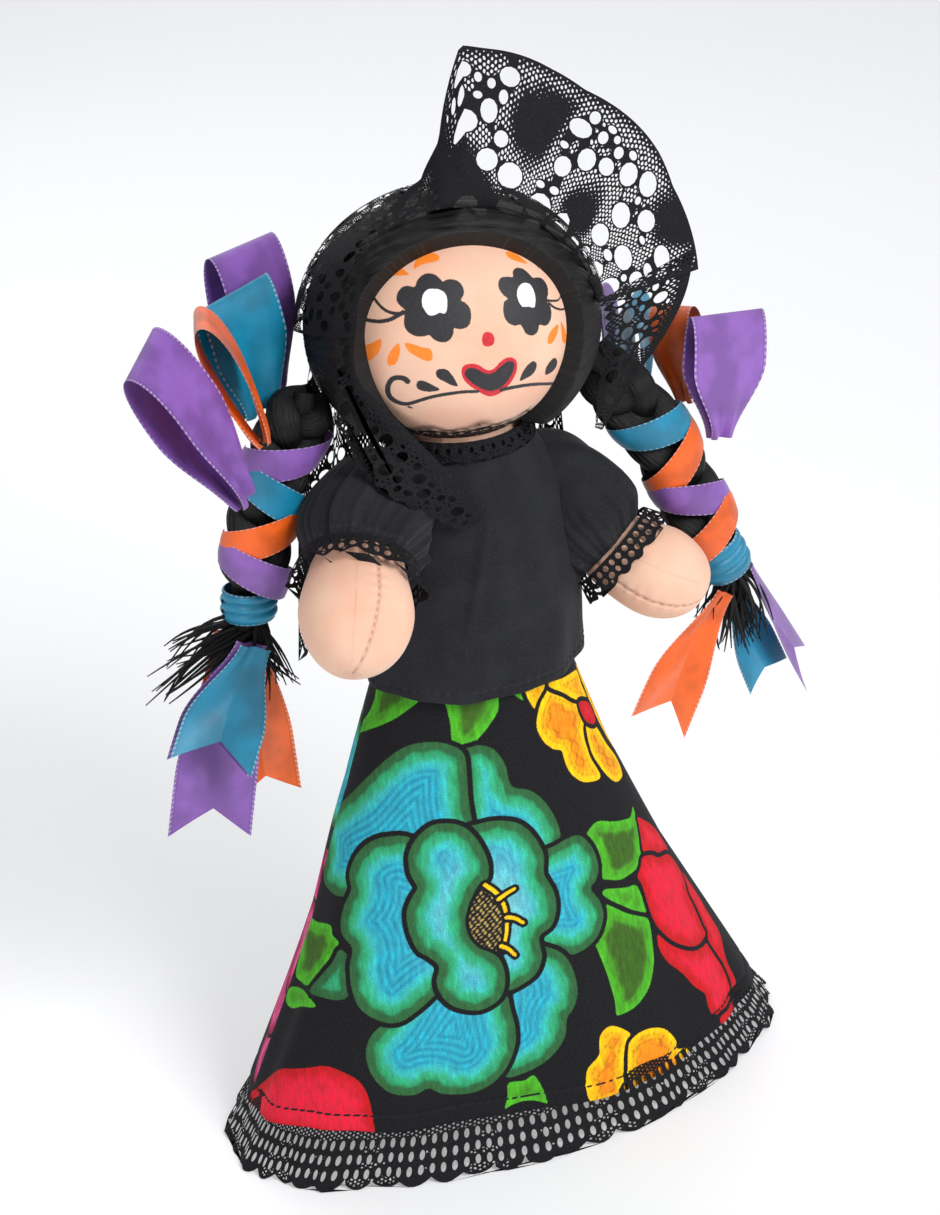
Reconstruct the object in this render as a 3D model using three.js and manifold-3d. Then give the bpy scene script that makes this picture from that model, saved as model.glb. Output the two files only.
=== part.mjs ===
// A stuffed cloth doll dressed in black lace, about 330 mm tall, standing on its own skirt.
// Units are millimetres, +Z is up, and the doll faces -Y, so its right side is at -X.
import * as THREE from 'three';
import { mergeVertices } from 'three/addons/utils/BufferGeometryUtils.js';
import Module from 'manifold-3d';

const wasm = await Module();
wasm.setup();

// Driving dimensions
const GAP = 0.35;
const ROOM = 0.75;
const CLOTH = 1.2;
const RIBBON = 0.7;
const WIDE_RIBBON = 25;
const NARROW_RIBBON = 20;
const HEAD_CENTRE = [-0.5, -0.5, 252];
const HEAD_RADII = [35, 30, 30.5];
const HEAD_YAW = -12;
const HEAD_TILT = -15;
const HAIR_RADII = [40.5, 36, 36];
const FACE_HALF_WIDTH = 32;
const FACE_UP = 26.5;
const FACE_DOWN = 38;
const NAPE_HEIGHT = 227;
const NECK_HEIGHT = 224;
const WAIST = 160;
const HEM_HEIGHT = 151;
const SKIRT_TOP = 158;
const SKIRT_HEM = 15;
const LACE_TOP = 18;

// Colours of the cloths, threads and ribbons
const finish = (color, roughness) => new THREE.MeshStandardMaterial({ color, roughness, metalness: 0 });
const skinCloth = finish(0xeec0a6, 0.9);
const hairThread = finish(0x08080a, 0.6);
const blackCotton = finish(0x111316, 0.92);
const blackLace = finish(0x0a0a0c, 0.85);
const printedCotton = finish(0x1d5f58, 0.9);
const purpleSatin = finish(0x9a72cf, 0.35);
const turquoiseSatin = finish(0x0b8fb8, 0.35);
const orangeSatin = finish(0xf0641e, 0.35);

const doll = new THREE.Group();

// Turning grids of points into closed bodies

// An indexed geometry from rows of points, with its faces turned to point out.
function bodyFrom(points, triangles) {
  let volume = 0;
  for (const [a, b, c] of triangles) {
    volume += points[a].dot(points[b].clone().cross(points[c]));
  }
  const geometry = new THREE.BufferGeometry();
  const flat = points.flatMap((p) => [p.x, p.y, p.z]);
  geometry.setAttribute('position', new THREE.Float32BufferAttribute(flat, 3));
  geometry.setIndex(triangles.flatMap(([a, b, c]) => (volume > 0 ? [a, b, c] : [a, c, b])));
  return geometry;
}

// A closed body through rings of equal length, with a fan on each end.
function loft(rings) {
  const sides = rings[0].length;
  const points = rings.flat();
  const triangles = [];
  for (let i = 0; i + 1 < rings.length; i += 1) {
    for (let j = 0; j < sides; j += 1) {
      const a = i * sides + j;
      const b = i * sides + ((j + 1) % sides);
      triangles.push([a, b, b + sides], [a, b + sides, a + sides]);
    }
  }
  const ends = [rings[0], rings[rings.length - 1]];
  ends.forEach((ring, end) => {
    const middle = ring.reduce((sum, p) => sum.add(p), new THREE.Vector3()).divideScalar(sides);
    points.push(middle);
    const first = end * (rings.length - 1) * sides;
    for (let j = 0; j < sides; j += 1) {
      const a = first + j;
      const b = first + ((j + 1) % sides);
      triangles.push(end ? [a, b, points.length - 1] : [b, a, points.length - 1]);
    }
  });
  return bodyFrom(points, triangles);
}

// A sheet of cloth as a closed body: surface(s, t) gives its middle, and each face stands half a
// thickness off it. A ring of cloth joins its last column to its first.
function sheet(surface, columns, rows, thickness, ring = false) {
  const across = ring ? columns : columns + 1;
  const step = 0.01;
  const faces = [[], []];
  for (let j = 0; j <= rows; j += 1) {
    for (let i = 0; i < across; i += 1) {
      const s = i / columns;
      const t = j / rows;
      const low = ring ? s - step : Math.max(0, s - step);
      const high = ring ? s + step : Math.min(1, s + step);
      const alongS = surface(high, t).sub(surface(low, t));
      const alongT = surface(s, Math.min(1, t + step)).sub(surface(s, Math.max(0, t - step)));
      const normal = alongS.cross(alongT).normalize().multiplyScalar(thickness / 2);
      const middle = surface(s, t);
      faces[0].push(middle.clone().add(normal));
      faces[1].push(middle.clone().sub(normal));
    }
  }
  const points = faces.flat();
  const back = faces[0].length;
  const triangles = [];
  const quad = (a, b, c, d) => triangles.push([a, b, c], [a, c, d]);
  const at = (i, j) => j * across + (i % across);
  for (let j = 0; j < rows; j += 1) {
    for (let i = 0; i < columns; i += 1) {
      quad(at(i, j), at(i + 1, j), at(i + 1, j + 1), at(i, j + 1));
      quad(back + at(i, j), back + at(i, j + 1), back + at(i + 1, j + 1), back + at(i + 1, j));
    }
  }
  for (let i = 0; i < columns; i += 1) {
    quad(at(i, 0), back + at(i, 0), back + at(i + 1, 0), at(i + 1, 0));
    quad(at(i, rows), at(i + 1, rows), back + at(i + 1, rows), back + at(i, rows));
  }
  if (!ring) {
    for (let j = 0; j < rows; j += 1) {
      quad(at(0, j), at(0, j + 1), back + at(0, j + 1), back + at(0, j));
      quad(at(columns, j), back + at(columns, j), back + at(columns, j + 1), at(columns, j + 1));
    }
  }
  return bodyFrom(points, triangles);
}

const vector = ([x, y, z]) => new THREE.Vector3(x, y, z);
const curveThrough = (points) => new THREE.CatmullRomCurve3(points.map(vector), false, 'centripetal');
const smooth = (x) => x * x * (3 - 2 * x);
const between = (value, low, high) => Math.min(1, Math.max(0, (value - low) / (high - low)));
const turnDegrees = THREE.MathUtils.degToRad;

// A table of [key, ...values] rows read as a smooth-edged profile.
function profile(table, key) {
  const last = table.length - 1;
  let i = 0;
  while (i < last - 1 && key > table[i + 1][0]) i += 1;
  const f = between(key, table[i][0], table[i + 1][0]);
  return table[i].slice(1).map((value, k) => value + (table[i + 1][k + 1] - value) * f);
}

// A round strand along a curve, with radius(t) its half thickness.
function strand(curve, radius, steps, sides) {
  const rings = [];
  let side = new THREE.Vector3(0.2, 1, 0.1);
  for (let i = 0; i <= steps; i += 1) {
    const t = i / steps;
    const along = curve.getTangent(t);
    side = side.clone().addScaledVector(along, -side.dot(along)).normalize();
    const up = along.clone().cross(side);
    const ring = [];
    for (let j = 0; j < sides; j += 1) {
      const angle = (2 * Math.PI * j) / sides;
      const spoke = side.clone().multiplyScalar(Math.cos(angle)).addScaledVector(up, Math.sin(angle));
      ring.push(curve.getPoint(t).addScaledVector(spoke, radius(t)));
    }
    rings.push(ring);
  }
  return loft(rings);
}

// Joining and cutting

function solidOf(geometry) {
  const merged = mergeVertices(geometry, 1e-4);
  const mesh = new wasm.Mesh({
    numProp: 3,
    vertProperties: new Float32Array(merged.attributes.position.array),
    triVerts: new Uint32Array(merged.index.array),
  });
  return new wasm.Manifold(mesh);
}

function geometryOf(solid) {
  const mesh = solid.getMesh();
  const geometry = new THREE.BufferGeometry();
  geometry.setAttribute('position', new THREE.BufferAttribute(new Float32Array(mesh.vertProperties), 3));
  geometry.setIndex(new THREE.BufferAttribute(new Uint32Array(mesh.triVerts), 1));
  return geometry;
}

const joined = (solids) => solids.reduce((whole, next) => whole.add(next));

function addPiece(name, geometry, material) {
  const mesh = new THREE.Mesh(geometry, material);
  mesh.name = name;
  doll.add(mesh);
}

// Head: a stuffed ball of skin-coloured cloth, turned and tipped back a little

const headTurn = new THREE.Matrix4()
  .makeTranslation(...HEAD_CENTRE)
  .multiply(new THREE.Matrix4().makeRotationZ(turnDegrees(HEAD_YAW)))
  .multiply(new THREE.Matrix4().makeRotationX(turnDegrees(HEAD_TILT)));

// An ellipsoid whose poles lie on its X axis; relief(angle, t) scales each point outwards.
function ball(radii, columns, rows, relief = () => 1) {
  const rings = [];
  for (let j = 1; j < rows; j += 1) {
    const polar = (Math.PI * j) / rows;
    const ring = [];
    for (let i = 0; i < columns; i += 1) {
      const angle = (2 * Math.PI * i) / columns;
      const out = relief(angle, j / rows);
      ring.push(new THREE.Vector3(
        -radii[0] * Math.cos(polar) * out,
        radii[1] * Math.sin(polar) * Math.cos(angle) * out,
        radii[2] * Math.sin(polar) * Math.sin(angle) * out,
      ));
    }
    rings.push(ring);
  }
  return loft(rings);
}

const HEAD_COLUMNS = 18;
const HEAD_ROWS = 12;

function headBall(margin) {
  const radii = HEAD_RADII.map((r) => r + margin);
  return ball(radii, HEAD_COLUMNS, HEAD_ROWS).applyMatrix4(headTurn);
}

addPiece('head', headBall(0), skinCloth);
const headRoom = solidOf(headBall(ROOM));

// Hair: a cap of combed thread that leaves the face and the neck free

const LOCKS = 9;
const LOCK_RELIEF = 0.018;
const HAIR_ROWS = 9;
const lockRelief = (angle, t) => 1 + LOCK_RELIEF * Math.cos(LOCKS * angle) * Math.sin(Math.PI * t);

// The ball of hair, its surface standing out from its true place by margin.
function hairBall(margin) {
  const radii = HAIR_RADII.map((r) => r + margin);
  return solidOf(ball(radii, 2 * LOCKS, HAIR_ROWS, lockRelief).applyMatrix4(headTurn));
}

const hairRoom = hairBall(ROOM);

// What leaves the face free: an oval, longer below, drawn in by margin.
function faceOpening(margin = 0) {
  const outline = new THREE.Shape();
  const halfWidth = FACE_HALF_WIDTH - margin;
  outline.absellipse(0, 0, halfWidth, FACE_UP - margin, 0, Math.PI, false);
  outline.absellipse(0, 0, halfWidth, FACE_DOWN - margin, Math.PI, 2 * Math.PI, false);
  const depth = 2 * HAIR_RADII[1];
  const cutter = new THREE.ExtrudeGeometry(outline, { depth, curveSegments: 10, bevelEnabled: false });
  cutter.deleteAttribute('normal');
  cutter.deleteAttribute('uv');
  return solidOf(cutter.rotateX(Math.PI / 2).applyMatrix4(headTurn));
}

function below(height) {
  const block = new THREE.BoxGeometry(200, 200, 100).translate(0, 0, height - 50);
  block.deleteAttribute('normal');
  block.deleteAttribute('uv');
  return solidOf(block);
}

// The cap: the ball hollowed for the head, open over the face and cut straight at the nape.
const hairCap = (margin) => hairBall(margin)
  .subtract(faceOpening(margin))
  .subtract(below(NAPE_HEIGHT - margin));
addPiece('hair', geometryOf(hairCap(0).subtract(headRoom)), hairThread);
const hairCapRoom = hairCap(ROOM);

// Torso, blouse body and sleeves share their profiles: height, half width, half depth, middle Y
const BODY = [
  [140, 32.5, 28, 0],
  [185, 33, 27, 0],
  [202, 31, 24.5, 0],
  [211, 26, 21, 0],
  [218, 20, 18, 0],
  [226, 17.5, 16.5, 0],
];

const BODY_SIDES = 14;
const SHOULDERS = BODY.slice(1, -1).map(([z]) => z);
const TORSO_FOOT = 144;
const TUCK = 6.2;
const [TORSO_TOP] = BODY[BODY.length - 1];

// The body's outer form through rings at the given heights, drawn in by inset.
function bodyForm(heights, inset) {
  const rings = heights.map((z) => {
    const [halfWidth, halfDepth, middle] = profile(BODY, z);
    const ring = [];
    for (let j = 0; j < BODY_SIDES; j += 1) {
      const angle = (2 * Math.PI * j) / BODY_SIDES;
      ring.push(new THREE.Vector3(
        (halfWidth - inset) * Math.cos(angle),
        middle + (halfDepth - inset) * Math.sin(angle),
        z,
      ));
    }
    return ring;
  });
  return solidOf(loft(rings));
}

// Arms: the middle line runs from the shoulder to the rounded end of the hand
const ARMS = {
  right: {
    line: [
      [-15, -1, 205], [-26, -3, 205], [-34, -12, 203], [-41, -22, 197], [-47, -33, 189], [-54, -45, 179],
    ],
    hand: 15.8,
    puff: 18,
  },
  left: {
    line: [[14, -1, 203], [25, -3, 201], [32, -8, 191], [39, -14, 181], [49, -23, 174], [61, -30, 169]],
    hand: 13.4,
    puff: 15.8,
  },
};
const ARM_STEPS = 9;
const ARM_SIDES = 11;
const SLEEVE_END = 0.58;
const SLEEVE_STEPS = 3;
const SLEEVE_FOLDS = 6;
const SLEEVE_CUT = 0.05;

// A stuffed arm, slim in the sleeve and rounding over at the hand.
function armSolid(arm) {
  const curve = curveThrough(arm.line);
  const girth = (t) => {
    const swell = 0.7 + 0.3 * smooth(between(t, 0.45, 0.83));
    const tip = between(t, 0.75, 1);
    return arm.hand * swell * Math.sqrt(Math.max(0.02, 1 - tip ** 2.4));
  };
  return strand(curve, girth, ARM_STEPS, ARM_SIDES);
}

// A puffed sleeve, gathered where the cuff holds it; thinner by inset and longer by reach.
function sleeveSolid(arm, inset, reach) {
  const curve = curveThrough(arm.line);
  const rings = [];
  let side = new THREE.Vector3(0, 1, 0);
  for (let i = 0; i <= SLEEVE_STEPS; i += 1) {
    const share = i / SLEEVE_STEPS;
    const t = share * SLEEVE_END + (i === SLEEVE_STEPS ? reach : 0);
    const along = curve.getTangent(t);
    side = side.clone().addScaledVector(along, -side.dot(along)).normalize();
    const up = along.clone().cross(side);
    const bulge = 0.62 + 0.38 * Math.sin(Math.PI * (0.05 + 0.75 * share ** 1.4));
    const ring = [];
    for (let j = 0; j < 2 * SLEEVE_FOLDS; j += 1) {
      const angle = (Math.PI * j) / SLEEVE_FOLDS;
      const radius = arm.puff * bulge - inset + 0.9 * share * Math.cos(SLEEVE_FOLDS * angle);
      const spoke = side.clone().multiplyScalar(Math.cos(angle)).addScaledVector(up, Math.sin(angle));
      ring.push(curve.getPoint(t).addScaledVector(spoke, radius));
    }
    rings.push(ring);
  }
  return solidOf(loft(rings));
}

const torsoTop = bodyForm([WAIST, ...SHOULDERS, TORSO_TOP], CLOTH + GAP);
const torsoFoot = bodyForm([TORSO_FOOT, WAIST], TUCK);
const torso = torsoTop.add(torsoFoot).subtract(headRoom);
addPiece('torso', geometryOf(torso), skinCloth);

const torsoRoom = bodyForm([TORSO_FOOT, ...SHOULDERS, TORSO_TOP], CLOTH);
for (const [side, arm] of Object.entries(ARMS)) {
  addPiece(`arm_${side}`, geometryOf(solidOf(armSolid(arm)).subtract(torsoRoom)), skinCloth);
}

const blouseOuter = joined([
  bodyForm([HEM_HEIGHT, ...SHOULDERS, NECK_HEIGHT], 0),
  sleeveSolid(ARMS.right, 0, 0),
  sleeveSolid(ARMS.left, 0, 0),
]);
const blouseInner = joined([
  bodyForm([HEM_HEIGHT - 2, ...SHOULDERS, NECK_HEIGHT + 2], CLOTH),
  sleeveSolid(ARMS.right, CLOTH, SLEEVE_CUT),
  sleeveSolid(ARMS.left, CLOTH, SLEEVE_CUT),
]);
addPiece('blouse', geometryOf(blouseOuter.subtract(blouseInner)), blackCotton);

// Skirt: two panels seamed at the sides, flaring from the waist to an oval hem
const SKIRT = [
  [0, 27.6, 23.4, 0, 0],
  [0.06, 28.2, 24, 0, 0],
  [0.3, 39, 28.5, 1, 0.5],
  [0.6, 56, 34.5, 2.6, 2.2],
  [1, 83, 43.5, 4.5, 4.6],
];
const SKIRT_FOLDS = 5;
const FOLD_RELIEF = 0.016;
const SKIRT_COLUMNS = 32;
const SKIRT_ROWS = 4;

// A point of the skirt's cloth: s goes round from the doll's left side, t down from the waist.
function skirtPoint(s, t, inset = 0) {
  const [halfLength, halfDepth, middleX, middleY] = profile(SKIRT, t);
  const angle = 2 * Math.PI * s;
  const fold = 1 + FOLD_RELIEF * t * Math.cos(SKIRT_FOLDS * angle + 0.6);
  return new THREE.Vector3(
    middleX + (halfLength * fold - inset) * Math.cos(angle),
    middleY + (halfDepth * fold - inset) * Math.sin(angle),
    SKIRT_TOP + (SKIRT_HEM - SKIRT_TOP) * t,
  );
}

const skirtCloth = sheet((s, t) => skirtPoint(s, t), SKIRT_COLUMNS, SKIRT_ROWS, CLOTH, true);
addPiece('skirt', skirtCloth, printedCotton);

// Lace trim sewn inside the hem, with scallops whose tips stand on the ground
const SCALLOPS = 30;
const LACE_FLARE = 11.5;
const SCALLOP_DEPTH = 2.2;
const LACE_INSET = 3.5;
const LACE_WAVE = 0.9;
const LACE_STEEPER = 0.65;

// A point of the lace: s goes round, t down; it flares less at the front and the back.
function hemLacePoint(s, t) {
  const top = skirtPoint(s, (SKIRT_TOP - LACE_TOP) / (SKIRT_TOP - SKIRT_HEM), LACE_INSET);
  const angle = 2 * Math.PI * s;
  const notch = Math.cos(SCALLOPS * angle) > 0.9 ? SCALLOP_DEPTH : 0;
  const out = t * (LACE_FLARE + LACE_WAVE * Math.cos((SCALLOPS / 2) * angle));
  return new THREE.Vector3(
    top.x + out * Math.cos(angle),
    top.y + LACE_STEEPER * out * Math.sin(angle),
    LACE_TOP * (1 - t) + notch * t,
  );
}

// The geometry with every point near the ground set down flat on it.
function setDown(geometry) {
  const { position } = geometry.attributes;
  for (let i = 0; i < position.count; i += 1) {
    if (position.getZ(i) < SCALLOP_DEPTH / 2) {
      position.setZ(i, 0);
    }
  }
  return geometry;
}

addPiece('skirt_lace', setDown(sheet(hemLacePoint, 3 * SCALLOPS, 1, CLOTH, true)), blackLace);

// Ruffled lace at the neck and at both cuffs

// A ruffle round a ring: low and high give [radius X, radius Y, height] of its two edges.
function ruffle(centre, axis, low, high, waves, depth) {
  const up = vector(axis).normalize();
  const side = new THREE.Vector3(1, 0, 0).addScaledVector(up, -up.x).normalize();
  const front = up.clone().cross(side);
  return (s, t) => {
    const angle = 2 * Math.PI * s;
    const [radiusX, radiusY, height] = low.map((value, k) => value + (high[k] - value) * t);
    const wave = depth * t * Math.cos(waves * angle);
    return vector(centre)
      .addScaledVector(side, (radiusX + wave) * Math.cos(angle))
      .addScaledVector(front, (radiusY + wave) * Math.sin(angle))
      .addScaledVector(up, height + 0.6 * wave);
  };
}

const NECK_WAVES = 11;
const neckRuffle = sheet(
  ruffle([0, 0, NECK_HEIGHT], [0, 0, 1], [17.2, 16.2, 1], [25.5, 24, 6.5], NECK_WAVES, 1.6),
  2 * NECK_WAVES,
  1,
  CLOTH,
  true,
);
addPiece('neck_lace', geometryOf(solidOf(neckRuffle).subtract(headRoom).subtract(hairCapRoom)), blackLace);

// A flat crochet band round the neckline, lying on the blouse
function neckBand(s, t) {
  const z = NECK_HEIGHT - 0.2 - 4.6 * t;
  const [halfWidth, halfDepth, middle] = profile(BODY, z);
  const out = GAP + CLOTH / 2 + 0.4;
  const angle = 2 * Math.PI * s;
  const x = (halfWidth + out) * Math.cos(angle);
  const y = middle + (halfDepth + out) * Math.sin(angle);
  return new THREE.Vector3(x, y, z);
}

addPiece('neck_band', sheet(neckBand, 24, 1, CLOTH, true), blackLace);

const CUFF_WAVES = 8;
const bodyRoom = bodyForm([HEM_HEIGHT - 2, ...SHOULDERS, NECK_HEIGHT], -GAP);
for (const [side, arm] of Object.entries(ARMS)) {
  const curve = curveThrough(arm.line);
  const axis = curve.getTangent(SLEEVE_END).toArray();
  const start = curve.getPoint(SLEEVE_END + 0.02).toArray();
  const inner = arm.hand + 0.8;
  const cuff = ruffle(start, axis, [inner, inner, 0], [inner + 2, inner + 2, 5.5], CUFF_WAVES, 1);
  const lace = solidOf(sheet(cuff, 2 * CUFF_WAVES, 1, CLOTH, true)).subtract(bodyRoom);
  addPiece(`cuff_lace_${side}`, geometryOf(lace), blackLace);
}

// Plaits: three strands of hair, tied near the end and loose below the tie
const STRAND = 4.6;
const PLAIT_WIDTH = 5;
const PLAIT_DEPTH = 2.7;
const PLAIT_SIDES = 10;
const PLAIT_STEPS = 19;
const PLAITS = {
  right: {
    line: [
      [-42, 2, 240], [-47, 3, 231], [-52, 4, 222], [-56.5, 5, 210], [-60, 5, 198], [-63, 6, 186],
      [-64.5, 6, 172],
    ],
    turns: 2.1,
    start: 0,
    tufts: [[-87, 3, 170], [-91, 4, 160], [-73, 5, 152], [-62, 6, 150], [-53, 8, 153]],
  },
  left: {
    line: [
      [41, -2, 236], [47, -4, 224], [56, -4, 212], [63.5, -5, 198], [69, -7, 184], [75, -8, 171],
      [81, -8, 158],
    ],
    turns: 2.3,
    start: 0.35,
    tufts: [[70, -9, 148], [77, -8, 137], [84, -7, 134], [91, -7, 136]],
  },
};

// The plait's own directions at t: its point, and the ways to its front and its side.
function plaitFrame(plait, t) {
  const curve = curveThrough(plait.line);
  const along = curve.getTangent(t);
  const front = new THREE.Vector3(0, -1, 0).addScaledVector(along, along.y).normalize();
  return { point: curve.getPoint(t), front, side: along.clone().cross(front), along };
}

// How far the outline of three crossing strands reaches from the plait's middle, towards angle.
function plaitReach(plait, t, angle) {
  const reaches = [0, 1, 2].map((k) => {
    const turn = 2 * Math.PI * (plait.turns * t + plait.start + k / 3);
    const x = PLAIT_WIDTH * Math.sin(turn);
    const y = -PLAIT_DEPTH * Math.sin(2 * turn);
    const nearest = x * Math.cos(angle) + y * Math.sin(angle);
    const aside = x * x + y * y - nearest * nearest;
    return aside < STRAND * STRAND ? nearest + Math.sqrt(STRAND * STRAND - aside) : 0;
  });
  return Math.max(2.5, ...reaches);
}

function plaitSolid(plait) {
  const rings = [];
  for (let i = 0; i <= PLAIT_STEPS; i += 1) {
    const t = i / PLAIT_STEPS;
    const { point, front, side } = plaitFrame(plait, t);
    const girth = (0.55 + 0.45 * smooth(between(t, 0, 0.12))) * (1 - 0.45 * smooth(between(t, 0.74, 0.84)));
    const ring = [];
    for (let j = 0; j < PLAIT_SIDES; j += 1) {
      const angle = (2 * Math.PI * j) / PLAIT_SIDES;
      const reach = girth * plaitReach(plait, t, angle);
      ring.push(point.clone()
        .addScaledVector(side, reach * Math.cos(angle))
        .addScaledVector(front, reach * Math.sin(angle)));
    }
    rings.push(ring);
  }
  const end = curveThrough(plait.line).getPoint(0.992);
  return joined([solidOf(loft(rings)), ...plait.tufts.map((tip) => tuft(end.clone(), vector(tip)))]);
}

// A loose lock of hair below the tie
function tuft(from, to) {
  const middle = from.clone().lerp(to, 0.5).add(new THREE.Vector3(0, 0, 1.5));
  const curve = new THREE.CatmullRomCurve3([from, middle, to]);
  return solidOf(strand(curve, (t) => 2.4 * (1 - 0.6 * t) + 0.6 * Math.sin(Math.PI * t), 2, 4));
}

for (const [side, plait] of Object.entries(PLAITS)) {
  addPiece(`plait_${side}`, geometryOf(plaitSolid(plait).subtract(hairRoom)), hairThread);
}

// Ribbons: each satin ribbon shows as a loop, as bands across the plait and as a notched tail

const BAND_WIDTH = 8.5;
const BAND_FROM = -15;
const BAND_TURN = 210;
const BAND_OFF = 1.6;

// A band of ribbon across the front of a plait at band.at of its length, band.slant lower on one
// side than on the other.
function ribbonBand(plait, band) {
  return (s, t) => {
    const around = turnDegrees(BAND_FROM + BAND_TURN * s);
    const drop = (band.slant / 2) * Math.cos(around) + BAND_WIDTH * (t - 0.5);
    const { point, front, side, along } = plaitFrame(plait, band.at);
    return point
      .addScaledVector(side, (PLAIT_WIDTH + STRAND + BAND_OFF) * Math.cos(around))
      .addScaledVector(front, (PLAIT_DEPTH + STRAND + BAND_OFF) * Math.sin(around))
      .addScaledVector(along, drop);
  };
}

// A loop of ribbon: from the root out to the tip and back, its width along across.
function ribbonLoop({ root, tip, across, width, belly, pinch }) {
  const start = vector(root);
  const reach = vector(tip).sub(start);
  const along = reach.clone().normalize();
  const wide = vector(across).addScaledVector(along, -vector(across).dot(along)).normalize();
  const open = wide.clone().cross(along);
  return (s, t) => {
    const out = (1 - Math.cos(2 * Math.PI * s)) / 2;
    const gape = (belly / 2) * Math.sin(2 * Math.PI * s) * (0.4 + 0.6 * out) + Math.cos(Math.PI * s);
    const spread = width * (pinch + (1 - pinch) * smooth(between(out, 0, 0.6)));
    return start.clone()
      .addScaledVector(reach, out)
      .addScaledVector(open, gape)
      .addScaledVector(wide, spread * (t - 0.5));
  };
}

// A hanging end of ribbon, gathered at the top and cut to a notch at the bottom.
function ribbonTail({ from, to, across, width, pinch, notch, curl }) {
  const start = vector(from);
  const reach = vector(to).sub(start);
  const along = reach.clone().normalize();
  const wide = vector(across).addScaledVector(along, -vector(across).dot(along)).normalize();
  const out = wide.clone().cross(along);
  return (s, t) => {
    const side = 2 * s - 1;
    const down = t * (1 - notch * (1 - Math.abs(side)));
    const spread = width * (pinch + (1 - pinch) * smooth(between(t, 0, 0.7)));
    return start.clone()
      .addScaledVector(reach, down)
      .addScaledVector(wide, (spread / 2) * side)
      .addScaledVector(out, curl * Math.sin(Math.PI * t) + 0.8 * Math.sin(3 * t + 2 * side));
  };
}

const RIBBONS = {
  right: {
    bands: [
      { name: 'purple_upper', at: 0.29, slant: 8, satin: purpleSatin },
      { name: 'turquoise', at: 0.45, slant: 8, satin: turquoiseSatin },
      { name: 'orange', at: 0.6, slant: 8, satin: orangeSatin },
      { name: 'purple_lower', at: 0.75, slant: 8, satin: purpleSatin },
    ],
    loops: [
      {
        name: 'purple_front', satin: purpleSatin, width: 20, belly: 13, pinch: 0.4,
        root: [-67.5, -10.5, 219], tip: [-92, -13, 267], across: [0.6, 0.65, 0.4],
      },
      {
        name: 'orange', satin: orangeSatin, width: 15, belly: 10, pinch: 0.4,
        root: [-59, -4.5, 231.5], tip: [-72.5, -2, 269], across: [0.3, 0.95, 0.1],
      },
      {
        name: 'turquoise', satin: turquoiseSatin, width: WIDE_RIBBON, belly: 5.5, pinch: 0.5,
        root: [-53.5, 11, 234], tip: [-59, 9.8, 269.5], across: [1, 0.35, 0.05],
      },
      {
        name: 'purple_back', satin: purpleSatin, width: WIDE_RIBBON, belly: 9, pinch: 0.5,
        root: [-47.5, 21, 234.5], tip: [-50, 26, 276], across: [0.9, 0.4, -0.3],
      },
    ],
    tails: [
      {
        name: 'turquoise', satin: turquoiseSatin, width: WIDE_RIBBON, pinch: 0.4, notch: 0.22, curl: 2,
        from: [-66, -3, 171], to: [-83, -5, 138.5], across: [1, 0, 0.15],
      },
      {
        name: 'purple_short', satin: purpleSatin, width: WIDE_RIBBON, pinch: 0.4, notch: 0.22, curl: 2,
        from: [-66, 0, 171], to: [-83, -1.5, 136.5], across: [1, 0, 0.15],
      },
      {
        name: 'purple_long', satin: purpleSatin, width: WIDE_RIBBON, pinch: 0.4, notch: 0.14, curl: 2,
        from: [-66, 11, 170], to: [-81.5, 9, 108], across: [1, 0, 0.1],
      },
      {
        name: 'orange_short', satin: orangeSatin, width: NARROW_RIBBON, pinch: 0.4, notch: 0.12, curl: 2,
        from: [-62, 14.5, 169], to: [-61, 14, 113], across: [1, 0, 0.1],
      },
      {
        name: 'orange_long', satin: orangeSatin, width: NARROW_RIBBON, pinch: 0.4, notch: 0.12, curl: 2,
        from: [-67, 18.5, 168], to: [-77, 17, 108], across: [1, 0, 0.1],
      },
    ],
  },
  left: {
    bands: [
      { name: 'turquoise', at: 0.34, slant: -8, satin: turquoiseSatin },
      { name: 'orange_upper', at: 0.48, slant: -8, satin: orangeSatin },
      { name: 'purple', at: 0.62, slant: -8, satin: purpleSatin },
      { name: 'orange_lower', at: 0.75, slant: -8, satin: orangeSatin },
    ],
    loops: [
      {
        name: 'purple_front', satin: purpleSatin, width: WIDE_RIBBON, belly: 6, pinch: 0.3,
        root: [75.5, -11, 205], tip: [80, -8, 241], across: [0.95, 0.1, -0.25],
      },
      {
        name: 'orange', satin: orangeSatin, width: 15, belly: 8, pinch: 0.4,
        root: [71.5, 0, 213], tip: [70, 5, 241], across: [0.35, -0.9, 0],
      },
      {
        name: 'turquoise', satin: turquoiseSatin, width: NARROW_RIBBON, belly: 7, pinch: 0.5,
        root: [63.5, 14, 216], tip: [62.5, 16, 241], across: [0.6, 0.7, 0],
      },
      {
        name: 'purple_back', satin: purpleSatin, width: NARROW_RIBBON, belly: 7, pinch: 0.5,
        root: [52, 17, 217], tip: [54, 21, 244], across: [0.6, 0.7, 0],
      },
    ],
    tails: [
      {
        name: 'orange', satin: orangeSatin, width: NARROW_RIBBON, pinch: 0.35, notch: 0.2, curl: 2,
        from: [76, -13, 156], to: [51, -16, 119], across: [0.9, 0, -0.4],
      },
      {
        name: 'turquoise', satin: turquoiseSatin, width: 18, pinch: 0.5, notch: 0.1, curl: 1,
        from: [84, -3, 152], to: [96, -3, 118], across: [0.9, 0.4, 0.2],
      },
      {
        name: 'purple', satin: purpleSatin, width: NARROW_RIBBON, pinch: 0.6, notch: 0.2, curl: 1,
        from: [88, -4, 161], to: [111, 0, 115], across: [0.5, 0.85, 0],
      },
    ],
  },
};

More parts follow.
